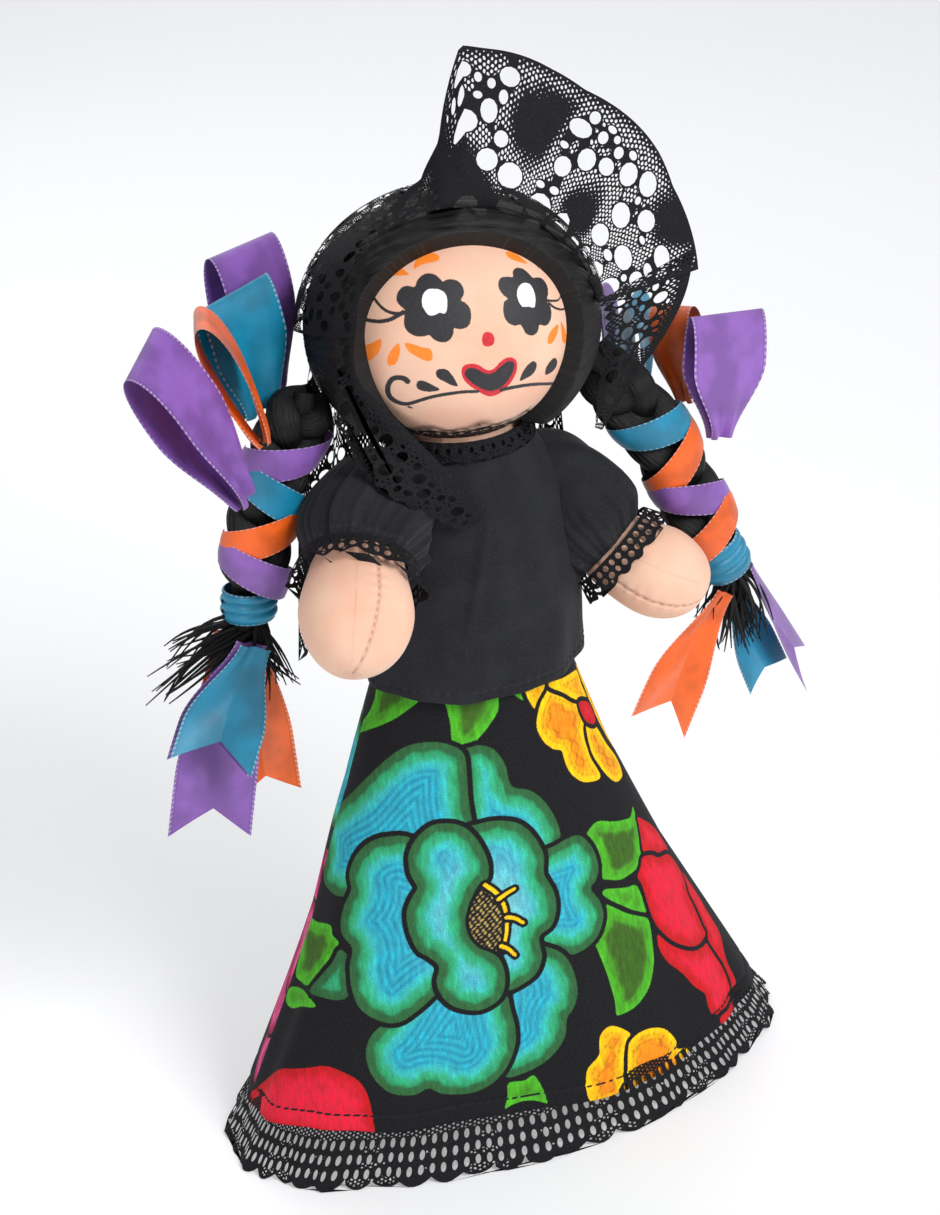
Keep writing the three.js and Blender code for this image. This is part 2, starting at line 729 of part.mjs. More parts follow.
for (const [side, plait] of Object.entries(PLAITS)) {
  for (const band of RIBBONS[side].bands) {
    addPiece(`ribbon_band_${band.name}_${side}`, sheet(ribbonBand(plait, band), 6, 1, RIBBON), band.satin);
  }
  for (const loop of RIBBONS[side].loops) {
    addPiece(`ribbon_loop_${loop.name}_${side}`, sheet(ribbonLoop(loop), 10, 1, RIBBON), loop.satin);
  }
  for (const tail of RIBBONS[side].tails) {
    addPiece(`ribbon_tail_${tail.name}_${side}`, sheet(ribbonTail(tail), 2, 4, RIBBON), tail.satin);
  }
}

// Ties: two turns of turquoise ribbon round the end of each plait
const TIE_AT = 0.9;
const TIE_ROLLS = 2;
const TIE_RADII = [7, 6];
const TIE_ROLL = 0.8;

function tieSurface(plait, height) {
  const curve = curveThrough(plait.line);
  const centre = curve.getPoint(TIE_AT);
  const axis = curve.getTangent(TIE_AT);
  const side = new THREE.Vector3(1, 0, 0).addScaledVector(axis, -axis.x).normalize();
  const front = axis.clone().cross(side);
  return (s, t) => {
    const angle = 2 * Math.PI * s;
    const roll = TIE_ROLL * Math.abs(Math.sin(TIE_ROLLS * Math.PI * t));
    return centre.clone()
      .addScaledVector(axis, height * (t - 0.5))
      .addScaledVector(side, (TIE_RADII[0] + roll) * Math.cos(angle))
      .addScaledVector(front, (TIE_RADII[1] + roll) * Math.sin(angle));
  };
}

addPiece('ribbon_tie_right', sheet(tieSurface(PLAITS.right, 9), 12, 4, RIBBON, true), turquoiseSatin);
addPiece('ribbon_tie_left', sheet(tieSurface(PLAITS.left, 12), 12, 4, RIBBON, true), turquoiseSatin);

// Veil: one sheet of black net pinned along the hairline. Its front edge stands up as a fan over
// the head, its sides come forward as two tails, and the rest hangs down the back.

// The free front edge, round the face: angle from the top, distance out, distance forward.
const FRONT_EDGE = [
  [-85, 31, 26],
  [-60, 31, 26],
  [-35, 36, 19],
  [-10, 41, 16],
  [-2, 50, 16],
  [5, 74, 17],
  [26, 72, 12],
  [57, 72, 4],
  [85, 70, 0],
];
const EDGE_FROM = FRONT_EDGE[0][0];
const EDGE_TO = FRONT_EDGE[FRONT_EDGE.length - 1][0];
const VEIL_OFF_HAIR = 2.8;
const VEIL_FOOT = 150;

// A point just off the hair: angle from the top, polar from the way that the face looks.
function offHair(angle, polar) {
  const [x, y, z] = HAIR_RADII.map((r) => r + VEIL_OFF_HAIR);
  return new THREE.Vector3(
    x * Math.sin(angle) * Math.sin(polar),
    -y * Math.cos(polar),
    z * Math.cos(angle) * Math.sin(polar),
  ).applyMatrix4(headTurn);
}

function veilColumn(s) {
  const degrees = EDGE_FROM + (EDGE_TO - EDGE_FROM) * s;
  const [out, forward] = profile(FRONT_EDGE, degrees);
  const angle = turnDegrees(degrees);
  const edge = new THREE.Vector3(out * Math.sin(angle), -forward, out * Math.cos(angle));
  edge.applyMatrix4(headTurn);
  const around = 0.9 * angle;
  return new THREE.CatmullRomCurve3([
    edge,
    offHair(angle, turnDegrees(58)),
    offHair(angle, turnDegrees(95)),
    offHair(angle * 0.97, turnDegrees(128)),
    new THREE.Vector3(40 * Math.sin(around), 10 + 33 * Math.cos(around), 222),
    new THREE.Vector3(46 * Math.sin(around), 13 + 33 * Math.cos(around), VEIL_FOOT),
  ], false, 'centripetal');
}

const VEIL_COLUMNS = 18;
const VEIL_ROWS = 8;
const veilPoint = (s, t) => veilColumn(s).getPoint(t);

// The tails: each starts on the sheet, at a share round and a share back from the front edge, and
// hangs between two edges.
const TAILS = {
  right: {
    upperStart: [0.07, 0],
    upper: [[-36.5, -18.5, 251], [-28, -17, 239], [-17, -22, 224], [-9, -24.5, 213], [-5.5, -26, 205]],
    lowerStart: [0, 0.16],
    lower: [[-40.5, -12, 246], [-40, -15, 230], [-33.4, -25, 219], [-21, -26, 209], [-12, -26, 203]],
  },
  left: {
    upperStart: [0.97, 0],
    upper: [[64.5, -13, 252], [56, -17, 243], [44, -20, 232.5], [34, -20, 220]],
    lowerStart: [1, 0.25],
    lower: [[39, -14, 250], [36.5, -17, 242], [34, -19, 234], [31.5, -20.5, 221.5]],
  },
};

function tailSheet({ upperStart, upper, lowerStart, lower }) {
  const upperEdge = curveThrough([veilPoint(...upperStart).toArray(), ...upper]);
  const lowerEdge = curveThrough([veilPoint(...lowerStart).toArray(), ...lower]);
  return sheet((s, t) => upperEdge.getPoint(s).lerp(lowerEdge.getPoint(s), t), 7, 2, CLOTH);
}

const veil = joined([
  solidOf(sheet(veilPoint, VEIL_COLUMNS, VEIL_ROWS, CLOTH)),
  solidOf(tailSheet(TAILS.right)),
  solidOf(tailSheet(TAILS.left)),
]).subtract(hairRoom);
addPiece('veil', geometryOf(veil), blackLace);

// The doll stands with the middle of its bounding box over the origin.
const extent = new THREE.Box3().setFromObject(doll);
doll.position.set(-(extent.min.x + extent.max.x) / 2, -(extent.min.y + extent.max.y) / 2, -extent.min.z);

export default doll;
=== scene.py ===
# A stuffed cloth doll in day-of-the-dead dress: lace veil, ribboned plaits and printed skirt.
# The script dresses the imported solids. Sizes below are millimetres; placed() turns them to metres.
import math

import bpy
import numpy as np
from mathutils import Matrix, Vector
from mathutils.geometry import delaunay_2d_cdt


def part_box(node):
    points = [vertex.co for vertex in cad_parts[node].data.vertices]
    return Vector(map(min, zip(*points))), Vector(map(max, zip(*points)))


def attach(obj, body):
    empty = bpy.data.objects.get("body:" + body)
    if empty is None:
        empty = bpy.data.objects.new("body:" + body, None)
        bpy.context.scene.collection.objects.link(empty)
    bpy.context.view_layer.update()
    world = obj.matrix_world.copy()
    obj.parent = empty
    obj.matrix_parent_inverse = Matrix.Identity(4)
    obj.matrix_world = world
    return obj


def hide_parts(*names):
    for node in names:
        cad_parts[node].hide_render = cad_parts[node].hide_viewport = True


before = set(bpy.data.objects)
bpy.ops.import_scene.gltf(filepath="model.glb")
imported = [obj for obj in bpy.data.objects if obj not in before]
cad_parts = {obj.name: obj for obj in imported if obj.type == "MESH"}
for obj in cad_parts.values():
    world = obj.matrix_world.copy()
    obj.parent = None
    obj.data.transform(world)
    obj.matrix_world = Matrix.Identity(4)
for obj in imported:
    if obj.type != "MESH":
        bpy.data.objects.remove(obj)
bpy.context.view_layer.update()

# The doll's own frame: its body stands over the origin, and the head is a ball 252 mm up.
HEAD_CENTRE = np.array([-0.5, -0.5, 252.0])
head_low, head_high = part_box("head")
SHIFT = np.array((head_low + head_high) / 2) * 1000 - HEAD_CENTRE


def placed(points):
    """Points of the doll's own frame, in millimetres, as metres in the row frame."""
    return (np.asarray(points, float) + SHIFT) / 1000


# The room: a pale floor that curves up behind the doll, a long lens as in a studio picture, and
# broad soft lights, the strongest from above on the camera's right.
CAMERA_TURN, CAMERA_RISE, CAMERA_ROLL = math.radians(-23), math.radians(27), math.radians(3.3)
CAMERA_AWAY, CAMERA_AIM = 800.0, np.array([0, 0, 165.0])
LENS = 2800 / 1215 * 36

BACK = np.array([
    math.sin(CAMERA_TURN) * math.cos(CAMERA_RISE),
    -math.cos(CAMERA_TURN) * math.cos(CAMERA_RISE),
    math.sin(CAMERA_RISE),
])
level = np.array([math.cos(CAMERA_TURN), math.sin(CAMERA_TURN), 0])
upright = np.cross(BACK, level)
PICTURE_X = level * math.cos(CAMERA_ROLL) - upright * math.sin(CAMERA_ROLL)
PICTURE_Y = upright * math.cos(CAMERA_ROLL) + level * math.sin(CAMERA_ROLL)

camera = bpy.data.objects.new("camera", bpy.data.cameras.new("camera"))
camera.data.lens = LENS
camera.data.sensor_width = 36
camera.data.clip_end = 50
camera.matrix_world = Matrix.LocRotScale(
    Vector(placed(CAMERA_AIM + BACK * CAMERA_AWAY)),
    Matrix((PICTURE_X, PICTURE_Y, BACK)).transposed(),
    None,
)
bpy.context.scene.collection.objects.link(camera)
bpy.context.scene.camera = camera


def mesh_object(name, points, *sets, smooth=True, out_of=None):
    """An object at the origin from points in the doll's frame and sets of faces, each an array of
    corners. Its faces are turned to look away from the point out_of, or out of a closed shape."""
    points = np.asarray(points, float)
    sets = [np.asarray(each, int) for each in sets if len(each)]
    centre = points.mean(0) if out_of is None else np.asarray(out_of, float)
    facing = 0.0
    for each in sets:
        a, b, c = (points[each[:, k]] - centre for k in range(3))
        facing += np.einsum("ij,ij->", a, np.cross(b - a, c - a))
    if facing < 0:
        sets = [each[:, ::-1] for each in sets]
    mesh = bpy.data.meshes.new(name)
    mesh.vertices.add(len(points))
    mesh.vertices.foreach_set("co", placed(points).astype(np.float32).ravel())
    sizes = np.concatenate([np.full(len(each), each.shape[1]) for each in sets])
    corners = np.concatenate([each.ravel() for each in sets])
    mesh.loops.add(len(corners))
    mesh.loops.foreach_set("vertex_index", corners.astype(np.int32))
    mesh.polygons.add(len(sizes))
    mesh.polygons.foreach_set("loop_start", np.concatenate([[0], np.cumsum(sizes)[:-1]]).astype(np.int32))
    mesh.polygons.foreach_set("use_smooth", np.full(len(sizes), smooth))
    mesh.update(calc_edges=True)
    mesh.validate()
    made = bpy.data.objects.new(name, mesh)
    bpy.context.scene.collection.objects.link(made)
    return made


def material(name, colour=(0.5, 0.5, 0.5), roughness=0.8, **sockets):
    """A new node material: its tree's nodes, links and principled shader."""
    made = bpy.data.materials.new(name)
    made.use_nodes = True
    tree = made.node_tree
    shader = tree.nodes["Principled BSDF"]
    shader.inputs["Base Color"].default_value = (*colour, 1)
    shader.inputs["Roughness"].default_value = roughness
    for key, value in sockets.items():
        shader.inputs[key.replace("_", " ")].default_value = value
    return made, tree, shader


# Floor: one sheet, flat under the doll and bending up far behind it along a quarter circle.
FLOOR_HALF, BEND_AT, BEND_RADIUS = 3000.0, 1100.0, 900.0
along = np.linspace(0, 1, 60)
bend = np.clip((along - 0.5) / 0.3, 0, 1) * math.pi / 2
run = np.where(along < 0.5, -2000 + (BEND_AT + 2000) * along / 0.5, BEND_AT + BEND_RADIUS * np.sin(bend))
rise = BEND_RADIUS * (1 - np.cos(bend)) + np.clip((along - 0.8) / 0.2, 0, 1) * 2500
across = np.linspace(-FLOOR_HALF, FLOOR_HALF, 8)
floor_points = np.stack(np.broadcast_arrays(
    across[None, :], run[:, None], rise[:, None] - 0.05), -1).reshape(-1, 3)
row, column = np.meshgrid(np.arange(59), np.arange(7), indexing="ij")
first = (row * 8 + column).ravel()
floor = mesh_object(
    "floor", floor_points, np.stack([first, first + 1, first + 9, first + 8], 1), out_of=(0, 0, -9000))
floor.data.transform(Matrix.Rotation(CAMERA_TURN, 4, "Z"))
paper, tree, shader = material("paper", (0.72, 0.722, 0.73), 0.75)
shader.inputs["Emission Color"].default_value = (0.97, 0.98, 1.0, 1)
shader.inputs["Emission Strength"].default_value = 0.30
floor.data.materials.append(paper)


def area_light(name, spot, aim, size, power, colour=(1, 1, 1)):
    """A square soft light at spot, turned to aim, both in the doll's frame."""
    lamp = bpy.data.objects.new(name, bpy.data.lights.new(name, "AREA"))
    lamp.data.size = size / 1000
    lamp.data.energy = power
    lamp.data.color = colour
    at, to = Vector(placed(spot)), Vector(placed(aim))
    lamp.location = at
    lamp.rotation_mode = "QUATERNION"
    lamp.rotation_quaternion = (to - at).to_track_quat("-Z", "Y")
    bpy.context.scene.collection.objects.link(lamp)


def seen_from(right, up, near):
    """A place given as the camera sees it: to its right, upwards and towards it, from the doll."""
    flat = np.array([BACK[0], BACK[1], 0]) / math.hypot(BACK[0], BACK[1])
    return level * right + np.array([0, 0, up]) + flat * near


MIDDLE = np.array([0, 0, 150.0])
area_light("key", seen_from(650, 950, 750), MIDDLE, 500, 13)
area_light("fill", seen_from(-900, 500, 700), MIDDLE, 900, 3)
area_light("rim", seen_from(-300, 900, -900), MIDDLE, 800, 4)
world = bpy.data.worlds.new("studio")
bpy.context.scene.world = world
world.use_nodes = True
world.node_tree.nodes["Background"].inputs["Color"].default_value = (0.93, 0.94, 0.96, 1)
world.node_tree.nodes["Background"].inputs["Strength"].default_value = 0.38
bpy.context.scene.view_settings.view_transform = "Standard"



# Head: a ball of peach muslin stuffed hard with wadding, the face painted on before dressing.
# Each painted shape is one closed line in the face plane, and the paint sits in the weave with
# a thin soft edge.
HEAD_RADII = np.array([35.0, 30.0, 30.5])
HEAD_YAW, HEAD_TILT = math.radians(-12), math.radians(-15)
HEAD_TURN = np.array(Matrix.Rotation(HEAD_YAW, 3, "Z") @ Matrix.Rotation(HEAD_TILT, 3, "X"))
BLACK_PAINT = [
    [(-13.4, 13.6), (-12.4, 15.2), (-10.7, 16.4), (-9.1, 16.6), (-7.6, 16), (-6.6, 14.9), (-6.2, 14.2),
     (-5.1, 14.6), (-3.5, 14.5), (-2, 13.7), (-1.2, 12.1), (-1.3, 10.5), (-2.3, 9.1), (-1.1, 8.1),
     (-0.3, 6.6), (-0.3, 4.6), (-0.9, 2.8), (-2, 1.9), (-3.7, 1.7), (-5.1, 2.1), (-5.4, 0.9),
     (-6.2, -0.4), (-7.4, -1.2), (-9, -1.1), (-10.4, -0.4), (-11.3, 0.6), (-11.6, 1), (-13.2, 0.8),
     (-15.1, 1.1), (-16.7, 2.2), (-17.5, 3.9), (-17.3, 5.9), (-16.8, 7.5), (-17, 8.3), (-18, 9.4),
     (-18.4, 10.8), (-17.8, 12.5), (-16.5, 13.7), (-15.1, 14)],
    [(12.8, 13), (13, 14.2), (14, 15), (15.4, 14.9), (16.7, 14.2), (17.8, 12.9), (18.7, 11.9),
     (20.4, 11.7), (21.9, 10.7), (22.6, 8.8), (22.3, 6.9), (21.6, 5.4), (22.5, 3.8), (22.6, 1.9),
     (22, 0.2), (20.9, -0.8), (19.7, -0.8), (18.5, -0.4), (17.9, -1.8), (16.8, -2.7), (15.4, -2.7),
     (14.1, -1.8), (13.4, -0.2), (12.8, 0.6), (11.2, 0.6), (9.5, 1.6), (8.6, 3.4), (8.6, 5.4),
     (9.2, 7.2), (10.2, 7.8), (9.1, 9), (8.3, 10.7), (8.5, 12.3), (9.5, 13.3), (11.1, 13.3)],
    [(-3.4, -10.4), (-2.9, -9.2), (-1.7, -8.8), (0.2, -9.5), (1.6, -10.6), (3.1, -11.1), (4.6, -10.9),
     (6.2, -9.8), (7.8, -8.8), (9.3, -8.5), (10.2, -9.2), (10.3, -10.5), (9.7, -12.1), (8.3, -14.1),
     (6.8, -15.4), (5, -16), (3.3, -16.1), (1.4, -15.2), (-0.6, -13.9), (-2.2, -12.3), (-3, -11.3)],
    [(-10.8, -9.4), (-10.4, -8.4), (-9.2, -8.2), (-7.8, -8.7), (-6.7, -10.1), (-5.7, -12.1),
     (-5.2, -13.3), (-5.7, -13.5), (-7.3, -12.8), (-8.9, -11.7), (-10.3, -10.7)],
    [(-15.8, -12.2), (-15.4, -11.1), (-14.4, -10.9), (-13.1, -11.5), (-11.5, -12.6), (-10, -13.7),
     (-10.4, -14.2), (-12.4, -14.3), (-14.3, -13.9), (-15.5, -13.1)],
    [(11.9, -14.6), (12.4, -12.8), (13.6, -11.1), (15, -10), (16.2, -9.8), (17, -10.8),
     (16.7, -12.3), (15.5, -13.6), (13.8, -14.2)],
    [(19.7, -14.2), (19.9, -12.5), (20.9, -11.2), (22.1, -10.3), (23.2, -10.4), (23.7, -11.6),
     (23.3, -13.1), (22, -14.1), (20.5, -14.5)],
]
# Brush lines: half widths at the two ends in mm, then the line.
BRUSH_LINES = [
    (0.35, 0.5, [(-23.5, 11.3), (-22.8, 9.9), (-21.6, 8.4), (-20, 7.5), (-18.2, 7.2), (-17, 7.3)]),
    (0.5, 0.55, [(-26.8, 6.3), (-25.3, 5.8), (-23.1, 5.5), (-20.8, 5.8), (-18.8, 6.7), (-17.2, 7.5)]),
    (0.35, 0.25, [(21.6, 5.5), (23.8, 5), (25.4, 4.9), (26.3, 5.5), (26.5, 6.1)]),
    (0.35, 0.2, [(22.2, 4.6), (24, 3.1), (26, 2.3), (27.7, 2.3), (29.4, 3.2), (30.4, 5.2), (30.9, 7.1)]),
    (0.75, 0.45, [(-17.9, -10.9), (-18.7, -10.1), (-20.1, -9.7), (-21.5, -10), (-22.4, -11.3),
                  (-22.7, -13.1), (-22.2, -15), (-20.9, -16.4), (-19, -17.3), (-17.3, -17.3),
                  (-15.3, -16.7), (-11.8, -15.8), (-7.8, -15.4), (-3.7, -15.3), (0.1, -15.7)]),
    (0.55, 0.3, [(6.6, -16.2), (10.2, -16.1), (13.9, -16.2), (17.9, -16.7), (22.3, -17.7),
                 (26.2, -18.4), (28.2, -17.6), (29.2, -15.6), (29.6, -13.6), (29.2, -11.9),
                 (28.3, -11.1), (27.6, -11.2), (27.4, -12.1)]),
    (0.3, 0.2, [(-17.7, -18.3), (-16.7, -18.7)]),
]
WHITE_PAINT = [
    [(-12.2, 10.1), (-11.6, 11.6), (-10.3, 12.6), (-8.5, 12.6), (-7, 12.1), (-6, 10.9), (-5.9, 9.3),
     (-6.3, 7.3), (-7, 6.2), (-8.3, 6.5), (-9.4, 6.1), (-10.4, 6), (-11.3, 6.4), (-11.9, 7.5), (-12.3, 8.7)],
    [(13.1, 8.4), (13.6, 9.9), (14.7, 10.8), (16.1, 11), (17.4, 10.3), (18.1, 8.8), (18.3, 7), (18, 5.4),
     (17.4, 4.4), (15.9, 4.9), (14.3, 5.1), (13.7, 5.7), (13.2, 7)],
]
RED_PAINT = [
    [(3.7, 0.1), (4.9, -0.6), (5.3, -2.1), (4.8, -3.4), (3.5, -3.8), (2.2, -3.3), (1.8, -1.8), (2.4, -0.2)],
    [(-4.2, -10.3), (-4, -8.6), (-2.9, -7.8), (-1, -7.8), (0.7, -8.5), (2.1, -9.7), (3.4, -10.2),
     (4.7, -9.8), (6.2, -8.5), (7.8, -7.6), (9.6, -7.6), (10.9, -8.6), (11.2, -10.2), (10.8, -12.1),
     (9.7, -14.1), (8.1, -15.9), (6.6, -17), (4.9, -17.6), (3.3, -17.6), (1.6, -16.8), (0.1, -15.6),
     (-2, -13.9), (-3.4, -12.2)],
]
ORANGE_PAINT = [
    [(-21.7, 17.5), (-21.2, 18.6), (-20.1, 19.2), (-18.4, 19.4), (-16.6, 19.1), (-15.3, 18.2),
     (-14.4, 17.2), (-14.2, 16.6), (-15.7, 16.6), (-17.9, 16.7), (-20.2, 16.7), (-21.4, 16.9)],
    [(-12.7, 18.1), (-12.2, 19.3), (-11, 20.6), (-9.5, 21.3), (-7.4, 21.4), (-6, 21), (-5.5, 20.3),
     (-5.9, 19.6), (-7.3, 19.2), (-9.3, 19), (-10.9, 18.7), (-12.3, 18)],
    [(12.3, 19), (13.2, 19.4), (14.9, 18.7), (16.4, 17.5), (17.5, 16.3), (18.1, 15.5), (16.5, 16),
     (14.3, 16.9), (12.8, 17.9)],
    [(20.5, 17.2), (22, 17.1), (23.3, 15.7), (22.5, 14.8), (21.3, 13.9), (20.9, 13.9), (20.5, 15.2)],
    [(-29.6, -3.6), (-29.2, -2.1), (-27.9, -1), (-26, -0.1), (-24.2, 0.8), (-23.5, 0.9), (-23.4, 0),
     (-23.9, -1.8), (-25.2, -3.6), (-26.9, -4.9), (-28.5, -5.1), (-29.3, -4.6)],
    [(-22.6, -5), (-22, -3.2), (-20.9, -1.6), (-19.9, -0.6), (-19.4, -0.4), (-19.2, -1.7),
     (-19.5, -3.7), (-20.3, -5.6), (-21.3, -6.3), (-22.2, -6.2)],
    [(-18, -0.7), (-17.2, -0.5), (-15.4, -1.2), (-13.5, -2.1), (-12.1, -2.4), (-11.4, -3.4),
     (-11.3, -4.9), (-11.8, -5.7), (-13, -5.7), (-14.5, -4.9), (-16, -3.8), (-17.2, -2.7)],
    [(20.6, -5.2), (20.9, -3.8), (22, -2.5), (23.4, -1.6), (24.3, -1.3), (24.4, -2.2), (23.8, -3.8),
     (22.8, -5.3), (21.6, -6.1), (20.9, -6)],
    [(25.3, -0.9), (26, -1.7), (26.8, -3.8), (27.1, -5.8), (26.8, -6.9), (26, -6.8), (25.4, -5.8)],
    [(28.1, -0.8), (29.9, -1.3), (32, -2.2), (32.8, -4.1), (32.3, -5.7), (31, -5.7), (29.7, -4.3)],
]


def spline(line, steps, closed=False):
    """Catmull-Rom curve: p = (2b + (c-a)u + (2a-5b+4c-d)u2 + (3b-a-3c+d)u3)/2 on each span."""
    line = np.asarray(line, float)
    if closed:
        line = np.concatenate([line[-1:], line, line[:2]])
    else:
        line = np.concatenate([2 * line[:1] - line[1:2], line, 2 * line[-1:] - line[-2:-1]])
    a, b, c, d = line[:-3, None], line[1:-2, None], line[2:-1, None], line[3:, None]
    u = np.linspace(0, 1, steps, endpoint=False)[None, :, None]
    curve = (2 * b + (c - a) * u + (2 * a - 5 * b + 4 * c - d) * u**2
             + (3 * b - a - 3 * c + d) * u**3) / 2
    curve = curve.reshape(-1, line.shape[1])
    return curve if closed else np.concatenate([curve, line[-2:-1]])


def to_line(points, line, low=0.0, high=0.0):
    """Least distance from each point to a line, less a half width running from low to high."""
    best = np.full(len(points), 1e9)
    width = np.linspace(low, high, len(line))
    for k in range(len(line) - 1):
        a, b = line[k], line[k + 1]
        step = b - a
        u = np.clip(((points - a) @ step) / max(step @ step, 1e-9), 0, 1)
        away = np.hypot(*(points - a - u[:, None] * step).T)
        best = np.minimum(best, away - width[k] - (width[k + 1] - width[k]) * u)
    return best


def inside_of(points, outline, steps=4):
    """Signed distance in mm to a smooth closed outline, positive inside it."""
    line = spline(outline, steps, closed=True)
    line = np.concatenate([line, line[:1]])
    low, high = line.min(0) - 6, line.max(0) + 6
    near = ((points >= low) & (points <= high)).all(1)
    result = np.full(len(points), -6.0)
    p = points[near]
    odd = np.zeros(len(p), bool)
    for a, b in zip(line[:-1], line[1:]):
        if a[1] != b[1]:
            crosses = (a[1] > p[:, 1]) != (b[1] > p[:, 1])
            odd ^= crosses & (p[:, 0] < (b[0] - a[0]) * (p[:, 1] - a[1]) / (b[1] - a[1]) + a[0])
    result[near] = to_line(p, line) * np.where(odd, 1, -1)
    return result


def grid_faces(rows, columns, wrap=False):
    """Corners of the quads of a grid of points, rows by columns, closed round if wrap."""
    row, column = np.meshgrid(np.arange(rows - 1), np.arange(columns - (not wrap)), indexing="ij")
    after = (column + 1) % columns
    a, b = row * columns + column, row * columns + after
    return np.stack([a, b, b + columns, a + columns], -1).reshape(-1, 4)


def store(thing, name, values):
    """A number, three numbers or a colour kept at each point of the mesh for its material."""
    values = np.asarray(values, np.float32)
    wide = values.shape[1] if values.ndim == 2 else 1
    kind, slot = {1: ("FLOAT", "value"), 3: ("FLOAT_VECTOR", "vector"), 4: ("FLOAT_COLOR", "color")}[wide]
    thing.data.attributes.new(name, kind, "POINT").data.foreach_set(slot, values.ravel())


def node(tree, kind, *inputs, out=0, **settings):
    """A shader node, its inputs set or linked in order (None leaves one alone); one output."""
    made = tree.nodes.new("ShaderNode" + kind)
    for key, value in settings.items():
        setattr(made, key, value)
    for socket, value in zip(made.inputs, inputs):
        if isinstance(value, bpy.types.NodeSocket):
            tree.links.new(value, socket)
        elif value is not None:
            socket.default_value = value
    return made.outputs[out]


def kept(tree, name, out=2):
    """What store() kept on the mesh: out 0 is its colour, 1 its vector and 2 its number."""
    return node(tree, "Attribute", out=out, attribute_name=name)


def mixed(tree, share, low, high):
    """Colour between low and high by share."""
    return node(tree, "MixRGB", share, low, high)


def ramped(tree, value, low, high, to_low=0.0, to_high=1.0):
    """Value from low..high to to_low..to_high with soft ends."""
    return node(tree, "MapRange", value, low, high, to_low, to_high, interpolation_type="SMOOTHSTEP")


def sums(tree, kind, a, b=None, c=None):
    return node(tree, "Math", a, b, c, operation=kind)


def place_of(tree, scale=(1.0, 1.0, 1.0)):
    """Object coordinates in millimetres, stretched by scale."""
    at = node(tree, "TexCoord", out=3)
    return node(tree, "VectorMath", at, tuple(1000 * s for s in scale), operation="MULTIPLY")


def noise(tree, where, scale, detail=2.0, rough=0.5, kind="FBM"):
    return node(tree, "TexNoise", where, None, scale, detail, rough, noise_type=kind)


def bumped(tree, shader, height, distance, strength=1.0, under=None):
    """Height in mm as a bump on the shader."""
    made = node(tree, "Bump", strength, distance / 1000, None, height, under)
    tree.links.new(made, shader.inputs["Normal"])
    return made


def weave(tree, where, pitch, soft=0.0):
    """Plain weave of threads a pitch apart along x and y of where: sin(x) sin(y) over and under."""
    x, y = (node(tree, "SeparateXYZ", where, out=k) for k in (0, 1))
    sx = sums(tree, "SINE", sums(tree, "MULTIPLY", x, math.pi / pitch))
    sy = sums(tree, "SINE", sums(tree, "MULTIPLY", y, math.pi / pitch))
    return sums(tree, "MULTIPLY_ADD", sums(tree, "MULTIPLY", sx, sy), 0.5, 0.5)


def head_point(ring, turn):
    """r = sphere of ring (0 at the face, pi behind) and turn, times the radii; x across, z up."""
    ball = np.stack(np.broadcast_arrays(
        np.sin(ring) * np.cos(turn), -np.cos(ring), np.sin(ring) * np.sin(turn)), -1)
    return ball * HEAD_RADII


def fan(ring, tip):
    """Triangles from a closed ring of point numbers to one tip."""
    ring = np.asarray(ring)
    return np.stack([ring, np.roll(ring, -1), np.full(len(ring), tip)], 1)


def build_head():
    """The ball as rings about the face, close together in front where the paint is."""
    rings = np.concatenate([np.linspace(0.006, 1.25, 190), np.linspace(1.27, math.pi - 0.03, 34)])
    turns = np.linspace(0, 2 * math.pi, 330, endpoint=False)
    local = head_point(rings[:, None], turns[None, :]).reshape(-1, 3)
    local *= 1 + 0.0016 * (np.sin(local[:, 0] * 0.35 + 1.3) * np.sin(local[:, 2] * 0.29 + 0.4))[:, None]
    local = np.concatenate([local, [[0, -HEAD_RADII[1], 0], [0, HEAD_RADII[1], 0]]])
    last = (len(rings) - 1) * len(turns)
    head = mesh_object(
        "doll_head", local @ HEAD_TURN.T + HEAD_CENTRE, grid_faces(len(rings), len(turns), wrap=True),
        fan(range(len(turns))[::-1], len(local) - 2), fan(range(last, last + len(turns)), len(local) - 1))
    return head, local


def skin_cloth(name):
    """Peach muslin: fine plain weave, faint fuzz, a blush in soft random blotches."""
    made, tree, shader = material(name, SKIN, 0.82, Sheen_Weight=0.25, Sheen_Roughness=0.4)
    at = place_of(tree)
    blotch = noise(tree, at, 0.06, 3.0)
    tint = mixed(tree, ramped(tree, blotch, 0.35, 0.7), (*SKIN, 1), (*SKIN_BLUSH, 1))
    threads = weave(tree, kept(tree, "cloth_at", out=1), 0.36)
    slub = noise(tree, at, 2.2, 2.0)
    # Painted shade: the colour darkens in the gaps between the weave's threads.
    tint = mixed(tree, sums(tree, "MULTIPLY", ramped(tree, threads, 0.75, 0.2), 0.16), tint, (*PAINTED_WEAVE_SHADE, 1))
    high = sums(tree, "MULTIPLY_ADD", slub, 0.3, threads)
    bumped(tree, shader, high, 0.09, 0.55)
    tree.links.new(tint, shader.inputs["Base Color"])
    return made, tree, shader, tint


